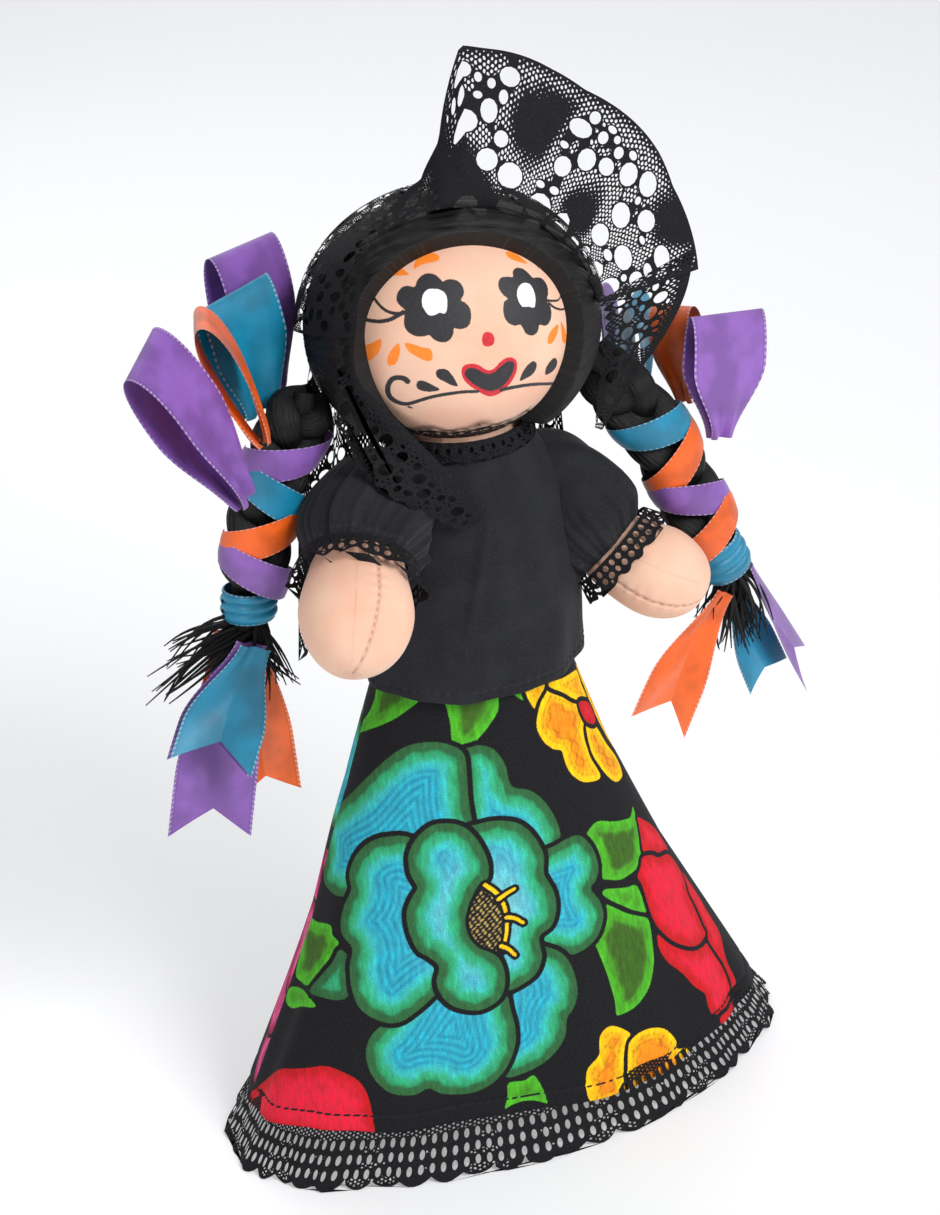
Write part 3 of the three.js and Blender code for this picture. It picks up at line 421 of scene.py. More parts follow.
SKIN = (0.86, 0.55, 0.40)
SKIN_BLUSH = (0.84, 0.47, 0.33)
# Colour of the painted shade in the weave's gaps.
PAINTED_WEAVE_SHADE = (0.52, 0.24, 0.14)
PAINTS = {
    "paint_orange": (0.95, 0.20, 0.006),
    "paint_red": (0.50, 0.004, 0.018),
    "paint_black": (0.010, 0.009, 0.012),
    "paint_white": (0.86, 0.87, 0.95),
}
head, head_local = build_head()
face_plane = head_local[:, [0, 2]]
in_front = head_local[:, 1] < 0
strokes = np.full(len(face_plane), -6.0)
for low, high, line in BRUSH_LINES:
    strokes = np.maximum(strokes, -to_line(face_plane, spline(line, 5), low, high))
painted = {
    "paint_orange": ORANGE_PAINT, "paint_red": RED_PAINT,
    "paint_black": BLACK_PAINT, "paint_white": WHITE_PAINT,
}
for name, shapes in painted.items():
    field = np.max([inside_of(face_plane, shape) for shape in shapes], 0)
    if name == "paint_black":
        field = np.maximum(field, strokes)
    store(head, name, np.where(in_front, field, -6.0))
spread = np.arccos(np.clip(-head_local[:, 1] / HEAD_RADII[1], -1, 1))
around = np.arctan2(head_local[:, 2], head_local[:, 0])
store(head, "cloth_at", np.stack([
    32 * spread * np.cos(around), 32 * spread * np.sin(around), 0 * spread], 1))
face_cloth, tree, shader, tint = skin_cloth("face_cloth")
at = place_of(tree)
ragged = sums(tree, "MULTIPLY_ADD", noise(tree, at, 2.6, 3.0), 0.34, -0.17)
fibre = noise(tree, place_of(tree, (3.0, 1.0, 0.5)), 1.4, 3.0)
wet = None
for name, colour in PAINTS.items():
    cover = ramped(tree, sums(tree, "ADD", kept(tree, name), ragged), -0.12, 0.14)
    strong = mixed(tree, ramped(tree, fibre, 0.3, 0.75), (*colour, 1), (*[min(1, 1.35 * c + 0.012) for c in colour], 1))
    tint = mixed(tree, cover, tint, strong)
    wet = cover if wet is None else sums(tree, "MAXIMUM", wet, cover)
tree.links.new(tint, shader.inputs["Base Color"])
tree.links.new(ramped(tree, wet, 0, 1, 0.84, 0.6), shader.inputs["Roughness"])
head.data.materials.append(face_cloth)
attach(head, "root")
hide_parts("head")


# Torso and arms: the same peach muslin, cut in two halves, sewn and turned, and stuffed. Each arm
# tapers in the sleeve and ends in a plain rounded hand; its seam runs down the hand.
ARMS = {
    "right": {
        "line": [(-15, -1, 205), (-26, -3, 205), (-34, -12, 203), (-41, -22, 197), (-47, -33, 189),
                 (-54, -45, 179)],
        "hand": 15.8, "puff": 18.0, "seam": -0.42,
    },
    "left": {
        "line": [(14, -1, 203), (25, -3, 201), (32, -8, 191), (39, -14, 181), (49, -23, 174),
                 (61, -30, 169)],
        "hand": 13.4, "puff": 15.8, "seam": 0.75,
    },
}
SLEEVE_END = 0.58


def flowing(points, t):
    """Centripetal Catmull-Rom curve through points; on each span, with knots d = |step|^0.5 and
    slopes m, p = x1 + m1 w + (3(x2-x1) - 2 m1 - m2) w2 + (2(x1-x2) + m1 + m2) w3."""
    points = np.asarray(points, float)
    t = np.asarray(t, float)
    count = len(points)
    ends = np.concatenate([2 * points[:1] - points[1:2], points, 2 * points[-1:] - points[-2:-1]])
    place = np.clip(t, 0, 1) * (count - 1)
    span = np.clip(place.astype(int), 0, count - 2)
    result = 0.0
    for i in range(count - 1):
        x0, x1, x2, x3 = ends[i:i + 4]
        d0, d1, d2 = (
            np.maximum(np.sum((b - a)**2, -1, keepdims=True), 1e-8)**0.25
            for a, b in ((x0, x1), (x1, x2), (x2, x3)))
        m1 = ((x1 - x0) / d0 - (x2 - x0) / (d0 + d1) + (x2 - x1) / d1) * d1
        m2 = ((x2 - x1) / d1 - (x3 - x1) / (d1 + d2) + (x3 - x2) / d2) * d1
        w = (place - i)[..., None]
        value = x1 + m1 * w + (3 * (x2 - x1) - 2 * m1 - m2) * w**2 + (2 * (x1 - x2) + m1 + m2) * w**3
        result = result + np.where((span == i)[..., None], value, 0)
    return result


def unit(v):
    return v / np.linalg.norm(v, axis=-1, keepdims=True)


def cross_frame(line, t, toward):
    """Point, forward direction and two across a curve, the first nearest to the way toward."""
    here = flowing(line, t)
    along = unit(flowing(line, np.minimum(t + 0.004, 1)) - flowing(line, np.maximum(t - 0.004, 0)))
    side = unit(toward - along * (along @ np.asarray(toward, float))[..., None])
    return here, along, side, np.cross(along, side)


def rolled(t, low, high):
    """0 below low, 1 above high, smooth between: x2 (3 - 2x)."""
    x = np.clip((t - low) / (high - low), 0, 1)
    return x * x * (3 - 2 * x)


def arm_girth(arm, t):
    """hand (0.7 + 0.3 s) sqrt(1 - u^2.4), u running over the last quarter, where the hand rounds."""
    tip = np.clip((t - 0.75) / 0.25, 0, 1)
    return arm["hand"] * (0.7 + 0.3 * rolled(t, 0.45, 0.83)) * np.sqrt(np.maximum(1e-4, 1 - tip**2.4))


def build_arm(name, arm):
    """Rings along the arm, closer at the hand; a soft groove and small puckers along the seam."""
    t = np.concatenate([np.linspace(0.25, 0.74, 90), 0.75 + 0.25 * np.sin(np.linspace(0, math.pi / 2, 80)) * 0.9995])
    around = np.linspace(0, 2 * math.pi, 200, endpoint=False)
    here, along, side, up = cross_frame(arm["line"], t, BACK)
    girth = arm_girth(arm, t)
    away = girth[:, None] * (around - arm["seam"])[None, :]
    away = np.abs((away + math.pi * girth[:, None]) % (2 * math.pi * girth[:, None] + 1e-9) - math.pi * girth[:, None])
    length = np.concatenate([[0], np.cumsum(np.linalg.norm(np.diff(here, axis=0), axis=1))])
    pucker = np.sin(length[:, None] * 2.1 + 0.6 * np.sin(length[:, None] * 0.7)) * np.exp(-(away / 2.6)**2)
    gather = np.exp(-((t - SLEEVE_END - 0.03) / 0.05)**2)[:, None] * np.sin(around[None, :] * 13)
    radius = girth[:, None] - 0.5 * np.exp(-(away / 0.55)**2) + 0.13 * pucker + 0.22 * gather
    radius += 0.18 * np.sin(3 * around[None, :] + 0.12 * length[:, None])
    spoke = np.cos(around)[None, :, None] * side[:, None] + np.sin(around)[None, :, None] * up[:, None]
    points = (here[:, None] + spoke * radius[..., None]).reshape(-1, 3)
    points = np.concatenate([points, here[:1], here[-1:] + along[-1:] * 0.02])
    rows, columns = len(t), len(around)
    last = (rows - 1) * columns
    made = mesh_object(
        name, points, grid_faces(rows, columns, wrap=True),
        fan(range(columns)[::-1], len(points) - 2), fan(range(last, last + columns), len(points) - 1))
    seam = np.concatenate([away.ravel(), [9, 9]])
    at = np.stack([(length[:, None] + 0 * away), arm["hand"] * (around[None, :] + 0 * away), 0 * away], -1)
    store(made, "seam", seam)
    store(made, "cloth_at", np.concatenate([at.reshape(-1, 3), np.zeros((2, 3))]))
    return made


arm_cloth, tree, shader, tint = skin_cloth("arm_cloth")
seam = kept(tree, "seam")
at = kept(tree, "cloth_at", out=1)
stitch = node(tree, "SeparateXYZ", at)
stitch = ramped(tree, sums(tree, "SINE", sums(tree, "MULTIPLY", stitch, 3.4)), -0.2, 0.3)
# Painted shade along the seam's groove, darker within about 0.75 mm of it.
painted_shade = sums(tree, "MULTIPLY", ramped(tree, seam, 0.75, 0.1), 0.7)
tint = mixed(tree, painted_shade, tint, (0.46, 0.22, 0.14, 1))
thread = sums(tree, "MULTIPLY", sums(tree, "MULTIPLY", ramped(tree, seam, 0.42, 0.2), stitch), 0.6)
tint = mixed(tree, thread, tint, (0.80, 0.58, 0.46, 1))
tree.links.new(tint, shader.inputs["Base Color"])
for side_name, arm in ARMS.items():
    made = build_arm(f"stuffed_arm_{side_name}", arm)
    made.data.materials.append(arm_cloth)
    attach(made, "root")
    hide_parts(f"arm_{side_name}")
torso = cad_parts["torso"]
torso.data.materials.clear()
torso.data.materials.append(skin_cloth("torso_cloth")[0])


# Skirt: printed cotton, black ground with large painted flowers, a front and a back panel cut as
# flared trapezoids and joined by two side seams, the foot turned up and stitched with black
# thread. It has no underskirt and stands by its own stiffness.
SKIRT_ROWS = np.array([  # share down, half length X, half depth Y, middle X, middle Y
    [0, 27.6, 23.4, 0, 0], [0.06, 28.2, 24, 0, 0], [0.3, 39, 28.5, 1, 0.5],
    [0.6, 56, 34.5, 2.6, 2.2], [1, 83, 43.5, 4.5, 4.6], [1.1, 89.8, 45.8, 5, 5.2]])
SKIRT_TOP, SKIRT_FALL = 158.0, 143.0
# How far down the foot hangs at each angle; 270 degrees is the middle of the front.
HEM = np.array([(0, 1.02), (40, 0.99), (90, 0.985), (140, 1.0), (168, 1.03), (190, 1.0), (209, 0.985), (226, 0.992),
                (240, 0.99), (255, 0.993), (275, 1.01), (286, 1.028), (297, 1.034), (305, 1.018),
                (317, 1.012), (345, 1.03), (360, 1.02)])
SEAM_LEFT, SEAM_RIGHT = 171.0, 369.0
FLAT_APEX = 100.0
PETALS = [  # the great flower's petals on the flat panel, the lowest first; the hidden sides run inwards
    [(-15.5, 24.7), (-13, 23), (-10.2, 23), (-6.5, 25.1), (-3.8, 30.3), (-3.2, 35.7), (-2, 38.3),
     (2.7, 40.5), (6.8, 45.1), (9.8, 51.9), (10.6, 58.2), (7.9, 62.5), (-4.2, 77.5), (-17, 74.2),
     (-19.7, 53.2), (-17.2, 37.9)],
    [(-15, 24.7), (-18.9, 21), (-24.2, 19.4), (-30.8, 19.8), (-37.4, 22.9), (-44.3, 27.7),
     (-52.1, 33.2), (-59.7, 37.3), (-67, 41.6), (-67.3, 46), (-66.3, 50.3), (-67.9, 56.5),
     (-67.2, 59.9), (-63.4, 62.1), (-59.2, 63), (-50, 63.4), (-34.7, 69.6), (-17, 74.2),
     (-15.1, 60.4), (-15.5, 40.3), (-15.1, 32.4)],
    [(8.2, 59.9), (12.8, 59), (17.4, 59.5), (21.4, 64.8), (22.7, 71.3), (21, 75.4), (18.7, 77.5),
     (21.3, 82.3), (21.9, 87.7), (19, 93.1), (14.1, 95.7), (8.7, 96.1), (3.7, 94), (-3.8, 90.2),
     (-13.9, 78.9), (-10, 63.6), (1.9, 60.8)],
    [(-0.9, 89.9), (5.7, 94.6), (8.5, 101.1), (8.9, 108.7), (6.8, 113.6), (4.5, 116.2),
     (3.2, 121.9), (-0.7, 127), (-6, 130.1), (-12.1, 131.1), (-16.9, 130.2), (-23.5, 122.3),
     (-20.3, 98.1), (-14.1, 81.1)],
    [(-49.5, 102), (-54.4, 106), (-56.5, 111.3), (-55.6, 118.5), (-51.9, 123.9), (-47.6, 126.2),
     (-43, 127.1), (-39.6, 126.4), (-35.9, 129.9), (-28.7, 132.5), (-22, 131.7), (-16.2, 127.7),
     (-12.4, 121.3), (-11.5, 115.3), (-12.1, 108.6), (-13.2, 95.8), (-17.5, 78), (-30.5, 78.8),
     (-39.8, 92.5)],
    [(-32.5, 47.7), (-40, 45.9), (-46.4, 47.3), (-51.5, 51.3), (-54.3, 56.4), (-54, 60.8),
     (-56.8, 65.2), (-58.7, 69.9), (-58.5, 74.3), (-55.7, 78.2), (-57.1, 83.5), (-57.2, 90.7),
     (-55.3, 97.2), (-50.4, 102.1), (-45.1, 103.4), (-39.3, 101), (-32.1, 96.5), (-18.9, 88),
     (-13.4, 75.1), (-18.8, 59.4)],
    [(-18.2, 48.6), (-13.4, 46.9), (-7.9, 47.3), (-2.2, 49.7), (1.9, 54.8), (4.3, 61.7),
     (3.6, 67.4), (4.4, 70.2), (6, 74.9), (5.9, 80.3), (3.7, 85.1), (-0.1, 87.4), (-0.5, 90.9),
     (-0.5, 95), (-3.1, 99.7), (-8.4, 102.1), (-13.2, 102.2), (-20.3, 98.1), (-23.7, 82.7), (-21, 62.9)],
    [(-31.6, 47.3), (-26.6, 44.4), (-20.4, 45.4), (-16.4, 48.8), (-13.8, 54.2), (-12.6, 60),
     (-13.4, 64.7), (-16.5, 66.3), (-19.1, 70.5), (-20.6, 75.1), (-20.8, 80.2), (-19.2, 84.8),
     (-16.1, 88), (-13.6, 90.7), (-12.4, 95.5), (-12.9, 100.6), (-15.4, 104.5), (-21.4, 106.2),
     (-27.6, 103.6), (-31.2, 99.2), (-32.6, 93.5), (-31.2, 88.6), (-33.6, 85), (-36.5, 82.2),
     (-38.2, 76.3), (-38.1, 69.9), (-35.9, 65.5), (-33.9, 62.7), (-35.3, 58.2), (-34.9, 52.1)],
]
GREEN_LEAVES = [
    [(-41.7, 1.2), (-43, 6.6), (-46.2, 10.9), (-51.9, 14.7), (-51.2, 16.6), (-42.2, 14.6), (-34.8, 12.3),
     (-29.9, 9.8), (-26.1, 7.5), (-23.3, 4.9), (-23.9, 3.6), (-29.7, 1.2), (-37.5, -0.2)],
    [(-18.4, 4), (-18.2, 10), (-17.8, 15), (-18, 20.8), (-16.3, 23.4), (-13.6, 22.8), (-10.2, 20.9),
     (-6.5, 17.4), (-3.8, 14), (-3.1, 10.3), (-3.3, 6)],
    [(0.5, 8.9), (4.4, 13.1), (4, 9.4)],
    [(19.4, 60.4), (24.6, 57.4), (31.9, 59.6), (37.6, 60.7), (41.4, 60.9), (44.8, 58.6), (44.8, 62.7),
     (44.1, 68.3), (42.1, 73.5), (39.7, 77), (34.4, 78.5), (30.6, 78.6), (25.4, 76.8), (23.4, 75.6),
     (23.8, 71.7), (23.3, 66.9), (21.5, 63.3)],
    [(22.5, 80), (24, 79.3), (28.1, 80.4), (32.9, 81.7), (37.2, 82.3), (38.7, 85.5), (39.8, 91.2),
     (39.8, 92.9), (34.5, 90.1), (30.1, 87.1), (26, 84.2), (23, 81.4)],
    [(22.9, 84.1), (25.7, 85.7), (31.1, 89.6), (36.1, 92.2), (39.7, 94.1), (40.4, 97.2), (40.2, 102),
     (39.6, 107.7), (37.9, 112.1), (35.4, 116), (31.1, 119.6), (27, 121.3), (22.4, 121.5),
     (21.4, 120.5), (21.5, 115.8), (20.8, 111.2), (19.8, 105.5), (18, 98.5), (16.9, 93.4),
     (20.3, 90.7), (22, 88.2)],
    [(-16.2, 132.5), (-11.2, 133.3), (-7.8, 132.6), (-5.6, 138.1), (-5, 141), (-5.1, 143.3),
     (-8.1, 141.5), (-12.2, 140.2), (-16, 140.3), (-18.5, 140.9), (-17.1, 137.3)],
    [(-82.3, 71.3), (-76, 70.5), (-71.1, 71.3), (-63.3, 71.3), (-62.1, 74.1), (-59.9, 76.7), (-63.7, 81.8),
     (-67.5, 85.1), (-73.9, 88.8), (-79.6, 88.3), (-83.1, 86.2), (-81, 79.2), (-81.9, 75)],
    [(-86.1, 90.2), (-77.7, 90.1), (-72.4, 91.5), (-69.6, 94.4), (-75.7, 94.6), (-83.7, 96), (-88, 94.1)],
]
SIDE_PETAL = [(-59.9, 78.3), (-57, 80.7), (-57.9, 85.9), (-58.3, 91.8), (-62.1, 93), (-67.7, 91.7),
              (-72.5, 90), (-67.5, 85.7), (-62.8, 81.8)]
YELLOW_PETALS = [
    [(5, 9.1), (7.7, 16.7), (11.6, 13.8), (13.9, 11.2), (8.9, 8.8)],
    [(12.5, 12.8), (9.8, 15.4), (8, 19), (7.4, 22.2), (8.2, 25.3), (9.8, 28.1), (12.3, 30.5),
     (14.9, 31.7), (15.5, 33.9), (16.1, 37), (17.8, 40.3), (21.1, 43.4), (24.9, 44.8), (28.7, 45.3),
     (30.5, 44), (27.9, 38.4), (26.2, 32.6), (26.5, 28.1), (28.1, 25.7), (26.8, 21.8), (25.6, 18.8),
     (19.6, 15), (14.2, 12)],
    [(30.4, 27.5), (35, 29.9), (39.8, 36.6), (45.1, 42.8), (45.1, 47.7), (42.4, 49), (38, 48.8),
     (33.9, 45.6), (30.7, 41), (28.4, 36.8), (27.7, 31.9), (28.2, 28)],
    [(14.2, 10.3), (20.8, 10.7), (32.5, 11.4), (32.8, 15.9), (34.1, 21.5), (25.1, 18.7), (19.6, 15),
     (14.6, 12)],
    [(34, 10), (39, 14), (43, 22), (47, 32), (50, 41), (45.6, 38), (40, 31), (36.6, 24), (35, 17)],
    [(13.4, 128.2), (14.5, 124.9), (17.5, 123.5), (20.3, 124.2), (23.8, 126.7), (26, 129.3),
     (24, 130.8), (22.1, 135.8), (20.9, 144.2), (20.5, 149), (15.9, 149), (11.7, 149), (9.3, 148),
     (7.6, 144.9), (7.2, 141.8), (7.7, 136.4), (9.2, 133.8), (12.8, 131.4)],
    [(24.2, 133.4), (25.4, 131.3), (29.2, 129.6), (34.1, 129.5), (38.9, 131.4), (42, 135),
     (43.3, 138.3), (43.3, 139.9), (47.9, 140.7), (48.8, 143), (45.8, 146), (41, 148), (35.5, 150),
     (29.9, 150), (25.2, 150), (22, 150), (22.9, 139.9)],
]
RED_PETALS = [
    [(26.8, 20.3), (31, 20.8), (35.2, 23), (36.5, 28), (33.8, 29), (30, 27.6), (27.6, 24.9)],
    [(45.7, 62.5), (49.4, 64.1), (58.1, 69.7), (63.6, 76), (62.3, 78.4), (56.2, 78.2), (51.4, 75.5),
     (47.7, 74.2), (43.5, 73.2), (44.2, 68.8), (45.2, 64.4)],
    [(42.8, 100.3), (46.7, 104.1), (52.3, 107.8), (57.6, 110.3), (63.8, 111.2), (67.9, 111.1),
     (71.5, 115.4), (73.7, 121.1), (75.3, 126.6), (75, 130.9), (68.6, 132.9), (63.6, 134),
     (59.6, 133), (58.1, 129.5), (57.7, 125.5), (53.9, 121.7), (49.8, 115.8), (45, 110.7),
     (42.4, 105.3)],
    [(62.8, 80.6), (68.9, 87.6), (73.7, 95.4), (76, 102.5), (78.6, 109.8), (76.9, 115.4),
     (76.8, 120.3), (78.7, 126.3), (78.4, 130.7), (76, 130), (75.7, 125.5), (73.9, 119.5),
     (69.4, 111.6), (69.2, 108.3), (67, 100.5), (64.5, 92.8), (65.5, 86.7)],
    [(42.4, 74.6), (48, 75.6), (52.7, 77.8), (61.1, 79.1), (65.9, 84.1), (66, 89), (64.5, 92.8),
     (66.2, 98.7), (67.7, 105.1), (68.4, 108.3), (63.8, 109.7), (58, 109.3), (52.4, 107.2),
     (47.7, 103.9), (43.6, 98.9), (41.7, 94.6), (40.6, 88.9), (39.7, 83.2), (38.4, 80), (40.5, 77.2)],
    [(62.9, 134.9), (68.9, 134.2), (75.4, 132.2), (74.1, 134.6), (67.9, 137.1), (63.1, 138.1)],
    [(-111.9, 123.7), (-100.3, 118.4), (-90.9, 114.2), (-83.5, 111.8), (-75.1, 111.8),
     (-68.1, 111.9), (-63, 115.1), (-59.4, 119.1), (-57.5, 124.8), (-57.2, 131.1), (-57.4, 137),
     (-61.7, 138), (-68.8, 136), (-76.9, 132), (-87.5, 129), (-104, 126)],
]
STAMEN = [(-14.5, 66.2), (-17.1, 68.8), (-19.3, 72.4), (-20.7, 76.7), (-20.3, 81.5), (-18.5, 84.9),
          (-15.4, 87.4), (-12.1, 89.5), (-10.4, 85.8), (-9.5, 81.4), (-9.6, 76.3), (-10.7, 72.2),
          (-12.5, 68.5)]
STAMEN_RIM = [(-14.5, 66.5), (-11.6, 69.9), (-9.9, 74.4), (-9.6, 79.2), (-10.4, 84.2), (-12, 88.6)]
FILAMENTS = [[(-11.2, 72.1), (-8.7, 71), (-6, 70.2)], [(-9.6, 78.6), (-7.2, 79.6), (-4.7, 81.9)],
             [(-12.4, 87.3), (-10.3, 89), (-8.5, 91.6)]]
FLOWER_HEART = (-16.0, 77.0)


def skirt_point(down, angle, out=0.0):
    """Ellipse whose axes and middle follow SKIRT_ROWS; radius x (1 + 0.016 d cos(5a + 0.6))."""
    down, angle = np.broadcast_arrays(down, angle)
    long, deep, mx, my = (np.interp(down, SKIRT_ROWS[:, 0], SKIRT_ROWS[:, k]) for k in range(1, 5))
    fold = 1 + 0.016 * down * np.cos(5 * angle + 0.6)
    return np.stack([
        mx + (long * fold + out) * np.cos(angle), my + (deep * fold + out) * np.sin(angle),
        SKIRT_TOP - SKIRT_FALL * down], -1)


def flat_place(down, angle, middle_turn):
    """The cut panel's own plane: arc length s from the panel's middle and slope length d from the
    waist, laid out as part of a cone: x = (a + d) sin(s / (a + d)), y = (a + d) cos(..) - a."""
    turns = np.radians(np.linspace(middle_turn - 180, middle_turn + 180, 1441))
    rows = np.linspace(0, 1.1, 221)
    net = skirt_point(rows[:, None], turns[None, :])
    along = np.concatenate([np.zeros((len(rows), 1)), np.cumsum(
        np.linalg.norm(np.diff(net, axis=1), axis=2), 1)], 1)
    middle = 720
    along -= along[:, middle:middle + 1]
    slope = np.concatenate([[0], np.cumsum(np.linalg.norm(np.diff(net[:, middle], axis=0), axis=1))])
    r = down / 1.1 * 220
    c = (np.degrees(angle) - middle_turn + 180) * 4
    r0, c0 = np.clip(r.astype(int), 0, 219), np.clip(c.astype(int), 0, 1439)
    fr, fc = r - r0, c - c0
    s = ((1 - fr) * (1 - fc) * along[r0, c0] + fr * (1 - fc) * along[r0 + 1, c0]
         + (1 - fr) * fc * along[r0, c0 + 1] + fr * fc * along[r0 + 1, c0 + 1])
    d = np.interp(down, rows, slope)
    away = FLAT_APEX + d
    return np.stack([away * np.sin(s / away), away * np.cos(s / away) - FLAT_APEX], -1)


def smooth_step(value, low, high):
    t = np.clip((value - low) / (high - low), 0, 1)
    return t * t * (3 - 2 * t)


def blend_colours(value, stops):
    """Colour along a list of (value, colour) stops."""
    at = [s[0] for s in stops]
    return np.stack([np.interp(value, at, [s[1][k] for s in stops]) for k in range(3)], 1)


def stamen_ink(flat):
    """Dark ground with small pale dots on a slanting square net: sin(x) sin(y) above a level."""
    dots = np.sin(flat[:, 0] * 3.2 + flat[:, 1]) * np.sin(flat[:, 1] * 2.9) > 0.45
    return np.where(dots[:, None], STAMEN_DOT, STAMEN_GROUND)


def turned(flat, centre, angle, size):
    """Points of the panel in a printed motif's own plane, the motif turned and resized there."""
    c, s = math.cos(angle), math.sin(angle)
    x, y = (flat - centre).T / size
    return np.stack([c * x + s * y + FLOWER_HEART[0], -s * x + c * y + FLOWER_HEART[1]], 1)


def great_flower(flat, place, stops, arc_ink, pale_ink, lay):
    """The large flower at its place on the panel: its petals, then its stamen and filaments."""
    flat = turned(flat, *place)
    count = len(flat)
    if place[2] == 1.0:
        field = inside_of(flat, SIDE_PETAL)
        lay(field, blend_colours(field, stops), 1.25)
    for outline in PETALS:
        field = inside_of(flat, outline)
        wave = 0.45 * np.sin(flat[:, 0] * 0.9) * np.sin(flat[:, 1] * 0.7 + 1)
        colour = blend_colours(field + wave, stops)
        # Blue brush arcs follow the petal's edge and fade towards the flower's heart.
        arcs = 0.5 + 0.5 * np.sin(field * 3.1 + 1.3 * np.sin(flat[:, 0] * 0.33) + 0.9 * np.sin(flat[:, 1] * 0.27))
        away = np.hypot(flat[:, 0] - FLOWER_HEART[0], (flat[:, 1] - FLOWER_HEART[1]) * 0.8)
        heart = np.exp(-(away / 13)**2)
        blue = smooth_step(field, 6.8, 9.5) * arcs * (1 - 0.8 * heart)
        colour = colour * (1 - 0.62 * blue[:, None]) + 0.62 * blue[:, None] * np.array(arc_ink)
        pale = smooth_step(field, 5.0, 9.0) * heart
        colour = colour * (1 - 0.6 * pale[:, None]) + 0.6 * pale[:, None] * np.array(pale_ink)
        lay(field, colour, 1.3)

    lay(inside_of(flat, STAMEN), stamen_ink(flat), 0.9)
    for line in [STAMEN_RIM] + FILAMENTS:
        lay(-to_line(flat, spline(line, 5), 0.75, 0.6), np.tile(YELLOW_EDGE, (count, 1)), 0.8)


def print_flowers(flat, great_flowers):
    """Ink colour at each point, and its distance in mm inside the nearest black line."""
    count = len(flat)
    ink = np.tile(np.array(COTTON_BLACK), (count, 1))
    depth = np.full(count, -6.0)

    def lay(field, colour, line):
        """One printed shape over what is there, with a black line of that width round it."""
        nonlocal depth
        on = field > -line / 2
        depth = np.where(on, field, np.minimum(depth, -field - line))
        ink[on] = colour[on]

    for shapes, edge, heart, wide in (
        (GREEN_LEAVES, LEAF_EDGE, LEAF_HEART, 5.0),
        (YELLOW_PETALS, YELLOW_EDGE, YELLOW_HEART, 5.5),
        (RED_PETALS, RED_EDGE, RED_HEART, 5.0),
    ):
        for shape in shapes:
            field = inside_of(flat, shape)
            mottle = 1.2 * np.sin(flat[:, 0] * 0.9 + 1.7 * np.sin(flat[:, 1] * 0.5))
            share = smooth_step(field + 0.5 * mottle, 0.6, wide)
            colour = np.array(edge) * (1 - share[:, None]) + np.array(heart) * share[:, None]
            if shapes is YELLOW_PETALS:
                ring = np.exp(-((field - 2.3) / 0.32)**2) * (0.55 + 0.45 * np.sin(flat[:, 0] * 2.4 + flat[:, 1] * 2.1))
                ring += 0.8 * np.exp(-((field - 4.4 - 0.8 * np.sin(flat[:, 1] * 1.3)) / 0.4)**2)
                colour = colour * (1 - 0.55 * np.clip(ring, 0, 1)[:, None])
            if shapes is GREEN_LEAVES:
                vein = np.exp(-((field - 3.0) / 0.5)**2)[:, None]
                colour = colour * (1 - 0.5 * vein) + np.array(LEAF_EDGE) * 0.5 * vein
            lay(field, colour, 1.25)

    for place, stops, arc_ink, pale_ink in great_flowers:
        great_flower(flat, place, stops, arc_ink, pale_ink, lay)
    return ink, depth


COTTON_BLACK = (0.0065, 0.0065, 0.0085)
LEAF_EDGE, LEAF_HEART = (0.075, 0.42, 0.022), (0.045, 0.12, 0.014)
YELLOW_EDGE, YELLOW_HEART = (0.95, 0.56, 0.006), (0.90, 0.26, 0.01)
RED_EDGE, RED_HEART = (0.52, 0.010, 0.014), (0.72, 0.018, 0.045)
PETAL_STOPS = [(0, (0.030, 0.115, 0.035)), (2.4, (0.028, 0.13, 0.05)), (3.1, (0.028, 0.30, 0.115)),
               (5.2, (0.040, 0.40, 0.22)), (6.3, (0.045, 0.46, 0.42)), (9, (0.035, 0.42, 0.52))]
PETAL_BLUE, PETAL_PALE = (0.010, 0.17, 0.36), (0.36, 0.70, 0.68)
PINK_STOPS = [(0, (0.30, 0.012, 0.06)), (2.4, (0.36, 0.014, 0.08)), (3.1, (0.50, 0.03, 0.13)),
              (5.2, (0.60, 0.07, 0.22)), (6.3, (0.66, 0.10, 0.28)), (9, (0.60, 0.06, 0.22))]
PINK_ARC, PINK_PALE = (0.32, 0.008, 0.08), (0.85, 0.45, 0.52)
BLUE_STOPS = [(0, (0.008, 0.06, 0.14)), (2.4, (0.010, 0.09, 0.20)), (3.1, (0.012, 0.14, 0.32)),
              (5.2, (0.018, 0.20, 0.44)), (6.3, (0.03, 0.28, 0.55)), (9, (0.02, 0.20, 0.48))]
BLUE_ARC, BLUE_PALE = (0.006, 0.06, 0.22), (0.30, 0.55, 0.75)
STAMEN_GROUND, STAMEN_DOT = (0.012, 0.010, 0.012), (0.55, 0.40, 0.12)


